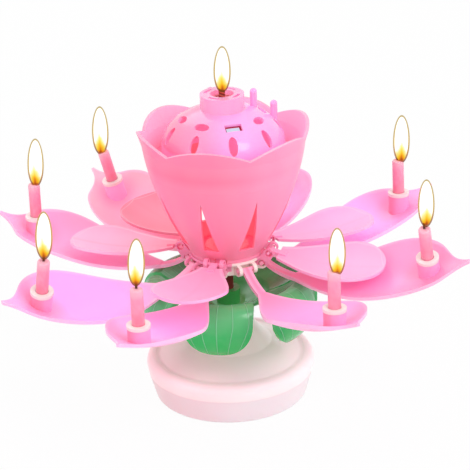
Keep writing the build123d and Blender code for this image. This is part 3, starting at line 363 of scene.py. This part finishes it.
def outer_petal(number):
    paint = soft_plastic(f"petal_{number}_plastic", rgb(254, 166, 214), 0.34)
    paint.lay_out(number, OUTER_RESTS[number], OUTER_HINGE, OUTER_ROLL_HEIGHT)
    x, y, _ = paint.parts()
    shaded_tint, lit_tint = OUTER_TINTS[number]
    # Painted light and shade along the blade: darker at its root, the shaded tint towards its ends and the
    # lit tint in its middle
    blade = paint.ramp(paint.calc("DIVIDE", x, REACH_SCALE), (
        (0.15, rgb(253, 140, 172)),
        (0.32, shaded_tint),
        (0.52, lit_tint),
        (0.68, lit_tint),
        (0.80, shaded_tint),
        (0.88, mean_colour(shaded_tint, lit_tint)),
        (0.97, shaded_tint),
    ))
    # Painted highlight: a magenta patch in the middle of the blade
    highlight_along = paint.fade(paint.apart(x, HIGHLIGHT_REACH), 0.0, HIGHLIGHT_HALF_LENGTH)
    highlight_across = paint.fade(paint.apart(y), 0.0, HIGHLIGHT_HALF_WIDTH)
    glow = paint.times(paint.times(highlight_along, highlight_across), HIGHLIGHT_SHARES[number])
    blade = paint.mottle(paint.mix(glow, blade, rgb(255, 178, 254)), 0.02)
    # Painted shade in a ring round the socket's foot
    from_post = paint.radius((SOCKET_REACH, 0.0))
    foot = paint.fade(from_post, SOCKET_RADIUS, SOCKET_RADIUS + FOOT_SHADE_SPREAD, FOOT_SHADE_SHARE)
    blade = paint.mix(foot, blade, rgb(253, 144, 186))
    post = paint.fade(from_post, SOCKET_RADIUS, SOCKET_RADIUS + SOCKET_EDGE)
    # Painted highlight along the blade's long edges
    edge = paint.fade(from_edge(paint, x, y, OUTER_WIDTH_SHARES), *LIT_EDGE_STRETCH)
    edge = paint.times(edge, paint.minus(1.0, post))
    blade = paint.mix(paint.times(edge, LIT_EDGE_SHARE), blade, rgb(255, 206, 232))
    paint.colour(paint.mix(post, blade, socket_colour(paint, number)))
    # Painted glow that lifts the petal where it is in shade
    paint.light(PAINTED_WARM_GLOW, OUTER_LIGHTS[number])
    paint.grain()
    return paint.material


def inner_petal(number):
    paint = soft_plastic(f"inner_{number}_plastic", rgb(254, 178, 218), 0.33)
    paint.lay_out(number, INNER_RESTS[number], INNER_HINGE, INNER_ROLL_HEIGHT)
    x, y, _ = paint.parts()
    shaded_tint, lit_tint = INNER_TINTS[number]
    # Painted light and shade: the shaded tint at the root, the lit tint further out
    blade = paint.ramp(paint.calc("DIVIDE", x, REACH_SCALE), (
        (0.20, shaded_tint),
        (0.34, mean_colour(shaded_tint, lit_tint)),
        (0.50, lit_tint),
        (0.62, lit_tint),
    ))
    # Painted shade along the middle crease
    crease_shade = paint.fade(paint.apart(y), 0.0, CREASE_HALF_WIDTH, CREASE_SHADE_SHARE)
    blade = paint.mottle(paint.mix(crease_shade, blade, shaded_tint), 0.02)
    # Painted highlight on the line just inside the edge
    inset = from_edge(paint, x, y, INNER_WIDTH_SHARES)
    inset_highlight = paint.fade(paint.apart(inset, LINE_INSET), *LINE_STRETCH)
    paint.colour(paint.mix(paint.times(inset_highlight, INSET_HIGHLIGHT_SHARE), blade, rgb(255, 212, 232)))
    # Painted glow that lifts the petal where it is in shade
    paint.light(PAINTED_WARM_GLOW, INNER_LIGHT)
    paint.grain()
    return paint.material


# Painted glow on the thin pink walls, standing in for the light that comes through them and shows on their
# inner faces
THROUGH_LIGHT = 0.3

# The cup: its height, its painted shade on the left and painted light on the right, its depth inside,
# painted darker further down, and its rim, with a painted highlight on its top
CUP_HEIGHTS = (0.058, 0.112)
CUP_SHADED_LEFT = (-0.034, -0.012)
CUP_LIT_RIGHT = (0.004, 0.040)
CUP_DEPTHS = (0.090, 0.104)
CUP_LIT_RIM = (0.1035, 0.1045)
INSIDE = (-0.004, 0.0)


def cup_material():
    paint = soft_plastic("cup_salmon", rgb(254, 146, 178), 0.33, 0.003, 0.3)
    x, y, z = paint.parts()
    # Painted shade: a darker band just under the flaring lip
    outside = paint.ramp(paint.span(z, *CUP_HEIGHTS), (
        (0.0, rgb(254, 146, 176)),
        (0.35, rgb(254, 148, 178)),
        (0.78, rgb(254, 148, 178)),
        (0.86, rgb(252, 134, 166)),
        (0.91, rgb(253, 141, 172)),
        (1.0, rgb(254, 146, 180)),
    ))
    # Painted light on the right side and painted shade on the left
    right = paint.span(towards_right(paint, x, y), *CUP_LIT_RIGHT, 0.0, 0.8)
    outside = paint.mix(right, outside, rgb(255, 178, 214))
    shaded_left = paint.fade(x, *CUP_SHADED_LEFT, 0.5)
    outside = paint.mix(shaded_left, outside, rgb(250, 138, 182))
    # The inside: painted darker further down, and given the painted glow of the thin walls on its inner
    # faces
    inner_skin = paint.mix(paint.span(z, *CUP_DEPTHS), rgb(255, 122, 140), rgb(254, 170, 200))
    inside = paint.fade(facing_out(paint, x, y), *INSIDE)
    skin = paint.mix(inside, outside, inner_skin)
    paint.light(inner_skin, paint.times(inside, THROUGH_LIGHT))
    # Painted highlight on the upward faces of the rim
    upward = paint.normal()[2]
    lit_rim = paint.times(paint.span(z, *CUP_LIT_RIM), paint.span(upward, 0.5, 0.8))
    skin = paint.mix(paint.times(lit_rim, 0.5), skin, rgb(255, 184, 206))
    paint.colour(paint.mottle(skin, 0.02))
    paint.grain()
    return paint.material


# The dome: its half width, over which its left is painted in shade and its right in light, its collar's
# edge, and how much its holes' walls are painted a darker pink for the shade in them
DOME_HALF_WIDTH = 0.024
COLLAR_EDGE = (0.0085, 0.0092)
PAST_COLLAR = (0.0092, 0.0098)
HOLE_SHARE = 0.6
HOLE_PINK = rgb(250, 150, 196)


def dome_material():
    paint = soft_plastic("dome_pink", rgb(254, 156, 222), 0.2, 0.0025, 0.2,
                         Coat_Weight=0.3, Coat_Roughness=0.12)
    x, y, _ = paint.parts()
    # Painted shade on the left and painted light on the right
    sides = paint.ramp(paint.span(x, -DOME_HALF_WIDTH, DOME_HALF_WIDTH), (
        (0.0, rgb(250, 146, 182)),
        (0.3, rgb(252, 158, 202)),
        (0.5, rgb(254, 168, 226)),
        (0.75, rgb(254, 174, 234)),
        (1.0, rgb(254, 170, 226)),
    ))
    reach = paint.radius()
    skin = paint.mix(paint.fade(reach, *COLLAR_EDGE), sides, rgb(255, 170, 214))
    # Painted shade on the holes' walls, which also get the painted glow below
    upward = paint.normal()[2]
    wall = paint.times(paint.fade(paint.apart(upward), 0.05, 0.2), paint.span(reach, *PAST_COLLAR))
    wall = paint.times(wall, HOLE_SHARE)
    skin = paint.mix(wall, skin, HOLE_PINK)
    # Painted glow on the hidden inner faces and on the holes' walls
    hidden = paint.fade(paint.plus(facing_out(paint, x, y), paint.times(upward, 0.01)), *INSIDE)
    paint.light(HOLE_PINK, paint.times(paint.calc("MAXIMUM", hidden, wall), THROUGH_LIGHT))
    paint.colour(paint.mottle(skin, 0.02))
    paint.grain(700.0, 0.00002)
    return paint.material


# The calyx: bearing of its front leaf, step from leaf to leaf, and step from vein to vein, in degrees;
# then the heights between which the veins fan out and the green deepens, and the bowl that the leaves share
LEAF_BEARING = 262.0
LEAF_STEP = 60.0
VEIN_STEP = 10.5
VEINS_EACH_SIDE = 5
VEIN_WIDTH = (0.2, 0.6)
FAN_HEIGHTS = (0.029, 0.046)
FAN_NARROWEST = 0.62
VEIN_START = (0.017, 0.024)
LEAF_HEIGHTS = (0.030, 0.050)
BOWL_REACH = (0.010, 0.022)


def leaf_material():
    paint = soft_plastic("leaf_green", rgb(62, 168, 96), 0.22, 0.002, 0.15,
                         Coat_Weight=0.45, Coat_Roughness=0.1)
    paint.spin("Z", -LEAF_BEARING)
    x, y, z = paint.parts()
    bearing = paint.times(paint.calc("ARCTAN2", y, x), math.degrees(1.0))
    shifted = paint.plus(bearing, 360.0 + LEAF_STEP / 2)
    from_middle = paint.minus(paint.calc("MODULO", shifted, LEAF_STEP), LEAF_STEP / 2)
    fanned = paint.calc("DIVIDE", from_middle, paint.span(z, *FAN_HEIGHTS, FAN_NARROWEST, 1.0))
    folded = paint.calc("MODULO", paint.plus(fanned, (VEINS_EACH_SIDE + 0.5) * VEIN_STEP), VEIN_STEP)
    reach = paint.radius()
    vein = paint.fade(paint.apart(folded, VEIN_STEP / 2), *VEIN_WIDTH)
    vein = paint.times(vein, paint.span(reach, *VEIN_START))
    green = paint.ramp(paint.span(z, *LEAF_HEIGHTS), (
        (0.0, rgb(12, 180, 78)),
        (0.4, rgb(38, 180, 90)),
        (1.0, rgb(90, 190, 120)),
    ))
    green = paint.mix(paint.fade(reach, *BOWL_REACH), green, rgb(74, 176, 92))
    streak = paint.span(paint.noise(130.0, 3.0), 0.35, 0.75, 0.0, 0.2)
    green = paint.mix(streak, green, rgb(120, 190, 130))
    paint.colour(paint.mix(paint.times(vein, 0.6), green, rgb(140, 222, 166)))
    paint.bump(vein, 0.00025)
    return paint.material


# The base: the stretch over which the painted shade on its left side fades, and the painted glow of its two
# parts, most on the cover, whose top lies in the flower's shade
LEFT_SHADE_STRETCH = (-0.034, 0.03)
LEFT_SHADE_SHARE = 0.9
BASE_LIGHT = 0.04
COVER_LIGHT = 0.22


def base_material(name, tint, light):
    paint = soft_plastic(name, tint, 0.3, 0.004, 0.35, Coat_Weight=0.2, Coat_Roughness=0.2)
    x, y, _ = paint.parts()
    # Painted shade on the left side, away from the light
    left_shade = paint.fade(towards_right(paint, x, y), *LEFT_SHADE_STRETCH, LEFT_SHADE_SHARE)
    skin = paint.mix(left_shade, tint, rgb(245, 199, 204))
    cloud = paint.span(paint.noise(28.0, 2.0), 0.4, 0.7, 0.0, 0.25)
    skin = paint.mix(cloud, skin, rgb(250, 242, 244))
    paint.colour(skin)
    # Painted glow, most on the cover, lifting the shade under the flower
    paint.light(skin, light)
    paint.grain(600.0, 0.00003)
    return paint.material


TUBE_HEIGHTS = (0.094, 0.104)


def tube_material():
    paint = soft_plastic("tube_pink", rgb(253, 140, 160), 0.4, 0.002, 0.3)
    height = paint.parts()[2]
    # Painted darker towards its foot, with the painted glow of the thin walls over all of it
    skin = paint.mix(paint.span(height, *TUBE_HEIGHTS), rgb(254, 132, 148), rgb(248, 156, 200))
    paint.colour(paint.mottle(skin, 0.03))
    paint.light(skin, THROUGH_LIGHT)
    paint.grain()
    return paint.material


# The hub: bearing of the hinge whose lugs stay cream, the bearings to either side where pink begins,
# and the heights where the lugs rise from the ring
CREAM_LUG_BEARING = 299.0
PINK_FROM = (math.radians(21.0), math.radians(23.0))
LUG_FOOT = (0.0560, 0.0564)
CREAM = rgb(253, 232, 226)


def hub_material():
    """Cream, with the lugs over it in the pink of the petals but for those of one hinge."""
    paint = soft_plastic("hub_cream", CREAM, 0.35, 0.002, 0.3)
    paint.spin("Z", -CREAM_LUG_BEARING)
    x, y, z = paint.parts()
    elsewhere = paint.span(paint.apart(paint.calc("ARCTAN2", y, x)), *PINK_FROM)
    lug = paint.times(elsewhere, paint.span(z, *LUG_FOOT))
    paint.colour(paint.mix(lug, CREAM, rgb(254, 152, 188)))
    paint.grain()
    return paint.material


def plain_plastic(name, colour, rough=0.4, share=0.15, fleck=0.03):
    paint = soft_plastic(name, colour, rough, 0.002, share)
    paint.colour(paint.mottle(colour, fleck))
    paint.grain()
    return paint.material


def metal(name, colour, rough=0.3):
    """Drawn metal, with fine level lines."""
    paint = Paint(name, colour, rough, Metallic=1.0)
    stretch = paint.tree.nodes.new("ShaderNodeMapping")
    paint.feed(stretch.inputs["Vector"], paint.point)
    stretch.inputs["Scale"].default_value = (1.0, 1.0, 14.0)
    lines = paint.noise(260.0, 3.0, stretch.outputs[0])
    paint.colour(paint.mix(paint.span(lines, 0.35, 0.65, 0.0, 0.2), colour, rgb(120, 120, 122)))
    paint.rough(paint.span(lines, 0.3, 0.7, rough - 0.06, rough + 0.1))
    return paint.material


# The circuit board's tracks: step from one to the next, and where a track's edge is, from its middle
TRACK_STEP = 0.0022
TRACK_EDGE = (0.0003, 0.0004)


def board_material():
    paint = Paint("board_green", rgb(30, 96, 48), 0.35)
    across = paint.parts()[0]
    folded = paint.calc("MODULO", paint.plus(across, 1.0), TRACK_STEP)
    track = paint.fade(paint.apart(folded, TRACK_STEP / 2), *TRACK_EDGE)
    paint.colour(paint.mix(track, rgb(26, 88, 44), rgb(52, 124, 64)))
    paint.grain()
    return paint.material


def candle_material(number):
    """Wax that pales towards its top, and the brown wick over it."""
    paint = soft_plastic(f"candle_{number}_wax", rgb(253, 160, 192), 0.42, 0.002, 0.45)
    paint.lay_out(number, OUTER_RESTS[number], OUTER_HINGE, OUTER_ROLL_HEIGHT)
    height = paint.parts()[2]
    wax = paint.ramp(paint.span(height, SOCKET_TOP, CANDLE_TOP), (
        (0.0, rgb(252, 136, 162)),
        (0.5, rgb(252, 146, 178)),
        (0.86, rgb(253, 156, 188)),
        (1.0, rgb(255, 186, 204)),
    ))
    streak = paint.span(paint.noise(180.0, 2.0), 0.4, 0.75, 0.0, 0.3)
    wax = paint.mix(streak, wax, rgb(255, 190, 214))
    above = paint.span(height, CANDLE_TOP - 0.0001, CANDLE_TOP + 0.0002)
    middle = paint.fade(paint.radius((SOCKET_REACH, 0.0)), WICK_RADIUS, WICK_RADIUS + 0.0002)
    paint.colour(paint.mix(paint.times(above, middle), wax, rgb(90, 50, 34)))
    paint.grain(500.0, 0.00005)
    return paint.material


# The fuse's twist, in radians of turn for each metre of height, and its strands
FUSE_TWIST = 2400.0
FUSE_STRANDS = 2.0


def fuse_material():
    paint = Paint("fuse_cord", rgb(110, 36, 26), 0.6)
    x, y, z = paint.parts()
    turned = paint.plus(paint.calc("ARCTAN2", y, x), paint.times(z, FUSE_TWIST))
    wave = paint.calc("SINE", paint.times(turned, FUSE_STRANDS))
    paint.colour(paint.mix(paint.span(wave, -0.6, 0.8), rgb(126, 34, 26), rgb(196, 78, 52)))
    paint.bump(wave, 0.00012)
    return paint.material


def dress(material, *names):
    for name in names:
        mesh = nodes[name].data
        mesh.materials.clear()
        mesh.materials.append(material)
        for face in mesh.polygons:
            face.material_index = 0


def dress_base():
    dress(base_material("base_pale", rgb(252, 234, 238), BASE_LIGHT), "base_housing", "battery_door")
    dress(base_material("base_cover_pale", rgb(250, 228, 228), COVER_LIGHT), "base_cover")
    dress(plain_plastic("bush_white", rgb(240, 236, 232)), "neck_bush")
    dress(plain_plastic("gear_white", rgb(240, 236, 226)),
          "gear_plate", "spindle_gear", "idler_gear", "motor_pinion")
    dress(metal("screw_steel", rgb(176, 176, 178)),
          "cover_screws", "plate_screws", "flower_screw", "idler_pin", "motor_shaft")
    dress(metal("motor_steel", rgb(196, 196, 198), 0.25), "motor", "switch_body")
    dress(metal("battery_jacket", rgb(150, 154, 160), 0.35), "battery")
    dress(metal("contact_nickel", rgb(200, 200, 202), 0.2), "battery_contacts")
    dress(board_material(), "circuit_board")
    dress(plain_plastic("chip_epoxy", rgb(24, 24, 24), 0.25, 0.0), "sound_chip")
    dress(metal("buzzer_brass", rgb(214, 180, 104), 0.3), "buzzer")
    dress(plain_plastic("switch_black", rgb(34, 34, 36), 0.45, 0.0), "switch_slider")
    dress(plain_plastic("spindle_red", rgb(140, 44, 48), 0.35, 0.1, 0.06), "spindle")


def dress_flower():
    dress(hub_material(), "hub_ring")
    dress(leaf_material(), "leaf_calyx")
    dress(cup_material(), "flower_cup")
    dress(dome_material(), "vent_dome")
    dress(tube_material(), "candle_tube")
    dress(plain_plastic("fountain_paper", rgb(236, 150, 164), 0.6, 0.1, 0.05), "fountain_candle")
    dress(fuse_material(), "fountain_fuse")
    ring = plain_plastic("ring_cream", rgb(252, 230, 228), 0.35, 0.3, 0.02)
    for number in OUTER_RESTS:
        dress(outer_petal(number), f"outer_petal_{number}")
        dress(ring, f"drip_ring_{number}")
        dress(candle_material(number), f"candle_{number}")
    for number in INNER_RESTS:
        dress(inner_petal(number), f"inner_petal_{number}")


# Each flame: how far its foot is beside and above the top of its wax, the lean of its tip, its height and
# its half width
FLAMES = {
    1: (0.0006, 0.0006, 0.0, 0.0186, 0.00303),
    2: (0.00125, -0.0015, 0.0002, 0.0203, 0.00335),
    4: (-0.00085, -0.0015, 0.0005, 0.0210, 0.0034),
    5: (0.00085, -0.0013, 0.001, 0.0201, 0.0032),
    6: (0.0003, 0.0005, 0.0009, 0.0186, 0.00313),
    7: (0.0, 0.0009, 0.0009, 0.0178, 0.00303),
    8: (0.00115, -0.0019, 0.0001, 0.0180, 0.00303),
}
CENTRE_FLAME_FOOT = 0.1237
CENTRE_FLAME = (0.0002, 0.0, 0.0004, 0.0180, 0.0032)

# A flame's bright core inside its thin mantle, and the rings and sides of their meshes
CORE_SHARE = 0.81
CORE_LIFT_SHARE = 0.2
CORE_STRENGTH = 3.2
MANTLE_ALPHA = 0.64
FLAME_FULLNESS = 0.16
FLAME_RINGS = 28
FLAME_SIDES = 32

# How much whiter the core gets for each metre to either side of its middle, and how much it flickers
CORE_ASIDE = 115.0
CORE_WISPS = 0.16


def flame_radius(share):
    """Half width at a share of the height: an egg, a little fuller below its middle."""
    round_part = math.sqrt(max(0.0, 1.0 - (2.0 * share - 1.0) ** 2))
    return round_part * (1.0 - FLAME_FULLNESS * (share - 0.5))


def add_piece(name, shape):
    """A new object of the scene from a finished mesh in the making."""
    mesh = bpy.data.meshes.new(name)
    shape.to_mesh(mesh)
    shape.free()
    piece = bpy.data.objects.new(name, mesh)
    bpy.context.scene.collection.objects.link(piece)
    return piece


def flame_mesh(name, foot, lean, half_width, height):
    shape = bmesh.new()
    rings = []
    for row in range(1, FLAME_RINGS):
        share = 0.5 - 0.5 * math.cos(math.pi * row / FLAME_RINGS)
        radius = half_width * flame_radius(share)
        ring = []
        for side in range(FLAME_SIDES):
            angle = 2.0 * math.pi * side / FLAME_SIDES
            ring.append(shape.verts.new((foot.x + lean * share + radius * math.cos(angle),
                                         foot.y + radius * math.sin(angle), foot.z + height * share)))
        rings.append(ring)
    bottom = shape.verts.new(foot)
    top = shape.verts.new(foot + Vector((lean, 0.0, height)))
    for side in range(FLAME_SIDES):
        after = (side + 1) % FLAME_SIDES
        shape.faces.new((bottom, rings[0][after], rings[0][side]))
        shape.faces.new((top, rings[-1][side], rings[-1][after]))
        for lower, upper in zip(rings, rings[1:]):
            shape.faces.new((lower[side], lower[after], upper[after], upper[side]))
    for face in shape.faces:
        face.smooth = True
    return add_piece(name, shape)


def glowing(name, strength, alpha=1.0):
    """A paint that only gives light, with no colour or shine of its own."""
    return Paint(name, BLACK, 0.9, Specular_IOR_Level=0.0, Emission_Strength=strength, Alpha=alpha)


def lift_in_flame(paint, z, foot, height):
    return paint.calc("DIVIDE", paint.minus(z, foot.z), height)


def core_paint(name, foot, height):
    """Brown at the wick, gold, then yellow along its middle, and white-hot above and beside that."""
    paint = glowing(name, CORE_STRENGTH)
    x, _, z = paint.parts()
    wisps = paint.times(paint.minus(paint.noise(420.0, 2.0), 0.5), CORE_WISPS)
    aside = paint.times(paint.apart(x, foot.x), CORE_ASIDE)
    level = paint.plus(lift_in_flame(paint, z, foot, height), aside)
    heat = paint.ramp(paint.plus(level, wisps), (
        (0.05, rgb(101, 6, 6)),
        (0.14, rgb(140, 46, 10)),
        (0.22, rgb(204, 134, 16)),
        (0.31, rgb(204, 184, 44)),
        (0.42, rgb(206, 206, 140)),
        (0.54, WHITE),
    ))
    paint.feed(paint.shader.inputs["Emission Color"], heat)
    return paint.material


def mantle_paint(name, foot, height):
    """The thin golden edge of a flame, partly clear."""
    paint = glowing(name, 1.0, MANTLE_ALPHA)
    z = paint.parts()[2]
    tone = paint.ramp(lift_in_flame(paint, z, foot, height), (
        (0.0, rgb(120, 60, 24)),
        (0.2, rgb(176, 110, 36)),
        (0.4, rgb(206, 172, 84)),
        (1.0, rgb(196, 172, 112)),
    ))
    paint.feed(paint.shader.inputs["Emission Color"], tone)
    return paint.material


def make_flame(label, body, wick, flame):
    aside, rise, lean, height, half_width = flame
    foot = wick + Vector((aside, 0.0, rise))
    mantle = flame_mesh(f"flame_mantle_{label}", foot, lean, half_width, height)
    mantle.data.materials.append(mantle_paint(f"flame_edge_{label}", foot, height))
    lift = height * (1.0 - CORE_SHARE) * CORE_LIFT_SHARE
    core_foot = foot + Vector((0.0, 0.0, lift))
    core = flame_mesh(f"flame_core_{label}", core_foot, lean, half_width * CORE_SHARE, height - 2.0 * lift)
    core.data.materials.append(core_paint(f"flame_glow_{label}", foot, height))
    for thing in (mantle, core):
        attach(thing, body)


def make_flames():
    for number, flame in FLAMES.items():
        make_flame(f"{number}", f"petal_{number}", candle_tip(number), flame)
    make_flame("centre", "flower", Vector((0.0, 0.0, CENTRE_FLAME_FOOT)), CENTRE_FLAME)


# The plates behind the dome's window: bearing, reach, height and slope of the opening, then each plate's
# size, how far it is sunk, and its colour
PANE_BEARING = 285.0
PANE_REACH = 0.01462
PANE_HEIGHT = 0.11342
PANE_SLOPE = 29.2
PANES = (
    ("window_frame", (0.0048, 0.0076, 0.0005), 0.0006, rgb(176, 52, 84)),
    ("window_pane", (0.0024, 0.0050, 0.0004), 0.0, rgb(196, 218, 228)),
)


def make_pane(name, size, sink, colour):
    """One of the two plates behind the window: the pale pane or its darker frame."""
    shape = bmesh.new()
    bmesh.ops.create_cube(shape, size=1.0)
    turned = Matrix.Rotation(math.radians(PANE_BEARING), 4, "Z")
    place = Matrix.Translation((PANE_REACH, 0.0, PANE_HEIGHT))
    slope = Matrix.Rotation(math.radians(PANE_SLOPE), 4, "Y")
    sunk = Matrix.Translation((0.0, 0.0, -sink))
    bmesh.ops.transform(shape, matrix=turned @ place @ slope @ sunk @ Matrix.Diagonal((*size, 1.0)),
                        verts=shape.verts)
    pane = add_piece(name, shape)
    pane.data.materials.append(plain_plastic(f"{name}_plastic", colour, 0.2, 0.0, 0.03))
    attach(pane, "flower")


def make_camera():
    tilt = math.radians(CAMERA_ELEVATION)
    roll = math.radians(CAMERA_ROLL)
    back = Vector((0.0, -math.cos(tilt), math.sin(tilt)))
    right = Vector((1.0, 0.0, 0.0))
    up = back.cross(right)
    rolled_right = right * math.cos(roll) - up * math.sin(roll)
    rolled_up = right * math.sin(roll) + up * math.cos(roll)
    data = bpy.data.cameras.new("camera")
    data.lens = CAMERA_LENS
    data.sensor_width = SENSOR_WIDTH
    data.clip_start = CLIP_START
    data.clip_end = CLIP_END
    camera = bpy.data.objects.new("camera", data)
    bpy.context.scene.collection.objects.link(camera)
    place = Vector(CAMERA_AIM) + back * CAMERA_DISTANCE
    axes = Matrix((rolled_right, rolled_up, back)).transposed().to_4x4()
    camera.matrix_world = Matrix.Translation(place) @ axes
    bpy.context.scene.camera = camera


# Light: the world's level on the object, the point that the lamps aim at, and each lamp's place, size
# and power
WORLD_LEVEL = 0.81
LAMP_AIM = (0.0, 0.0, 0.06)
LAMPS = (
    ("key_lamp", (0.50, -0.62, 0.80), 0.55, 3.8),
    ("fill_lamp", (-0.75, -0.50, 0.45), 0.60, 1.0),
    ("back_lamp", (-0.25, 0.70, 0.75), 0.60, 1.3),
)


def make_lamp(name, place, size, power):
    data = bpy.data.lights.new(name, "AREA")
    data.shape = "DISK"
    data.size = size
    data.energy = power
    lamp = bpy.data.objects.new(name, data)
    bpy.context.scene.collection.objects.link(lamp)
    lamp.location = place
    aim = Vector(LAMP_AIM) - Vector(place)
    lamp.rotation_euler = aim.to_track_quat("-Z", "Y").to_euler()


def shown_ray(tree):
    """1 for the rays that carry the background's own colour: the camera's, reflected and refracted ones."""
    path = tree.nodes.new("ShaderNodeLightPath")
    total = path.outputs["Is Camera Ray"]
    for key in ("Is Glossy Ray", "Is Transmission Ray"):
        either = tree.nodes.new("ShaderNodeMath")
        either.operation = "MAXIMUM"
        tree.links.new(total, either.inputs[0])
        tree.links.new(path.outputs[key], either.inputs[1])
        total = either.outputs[0]
    return total


def make_world():
    world = bpy.data.worlds.new("studio")
    bpy.context.scene.world = world
    world.use_nodes = True
    tree = world.node_tree
    ground = tree.nodes["Background"]
    ground.inputs["Color"].default_value = WHITE
    level = tree.nodes.new("ShaderNodeMapRange")
    tree.links.new(shown_ray(tree), level.inputs["Value"])
    level.inputs["To Min"].default_value = WORLD_LEVEL
    level.inputs["To Max"].default_value = 1.0
    tree.links.new(level.outputs["Result"], ground.inputs["Strength"])


# The floor: a wide round sheet just under the object, shown almost white with the object's shadow on it
FLOOR_RADIUS = 6.0
FLOOR_SIDES = 96
FLOOR_DROP = 0.0002
FLOOR_GREY = (0.86, 0.86, 0.86, 1.0)
FLOOR_WHITE_SHARE = 0.95


def floor_material():
    material = bpy.data.materials.new("floor_white")
    material.use_nodes = True
    tree = material.node_tree
    tree.nodes.clear()
    matt = tree.nodes.new("ShaderNodeBsdfDiffuse")
    matt.inputs["Color"].default_value = FLOOR_GREY
    white = tree.nodes.new("ShaderNodeEmission")
    white.inputs["Color"].default_value = WHITE
    share = tree.nodes.new("ShaderNodeMath")
    share.operation = "MULTIPLY"
    tree.links.new(shown_ray(tree), share.inputs[0])
    share.inputs[1].default_value = FLOOR_WHITE_SHARE
    blend = tree.nodes.new("ShaderNodeMixShader")
    tree.links.new(share.outputs[0], blend.inputs[0])
    tree.links.new(matt.outputs[0], blend.inputs[1])
    tree.links.new(white.outputs[0], blend.inputs[2])
    output = tree.nodes.new("ShaderNodeOutputMaterial")
    tree.links.new(blend.outputs[0], output.inputs["Surface"])
    return material


def make_floor():
    shape = bmesh.new()
    bmesh.ops.create_circle(shape, cap_ends=True, segments=FLOOR_SIDES, radius=FLOOR_RADIUS)
    floor = add_piece("floor", shape)
    floor.location.z = -FLOOR_DROP
    floor.data.materials.append(floor_material())


make_camera()
make_world()
make_floor()
for lamp in LAMPS:
    make_lamp(*lamp)
dress_base()
dress_flower()
make_flames()
for pane in PANES:
    make_pane(*pane)
bpy.context.scene.view_settings.view_transform = "Standard"
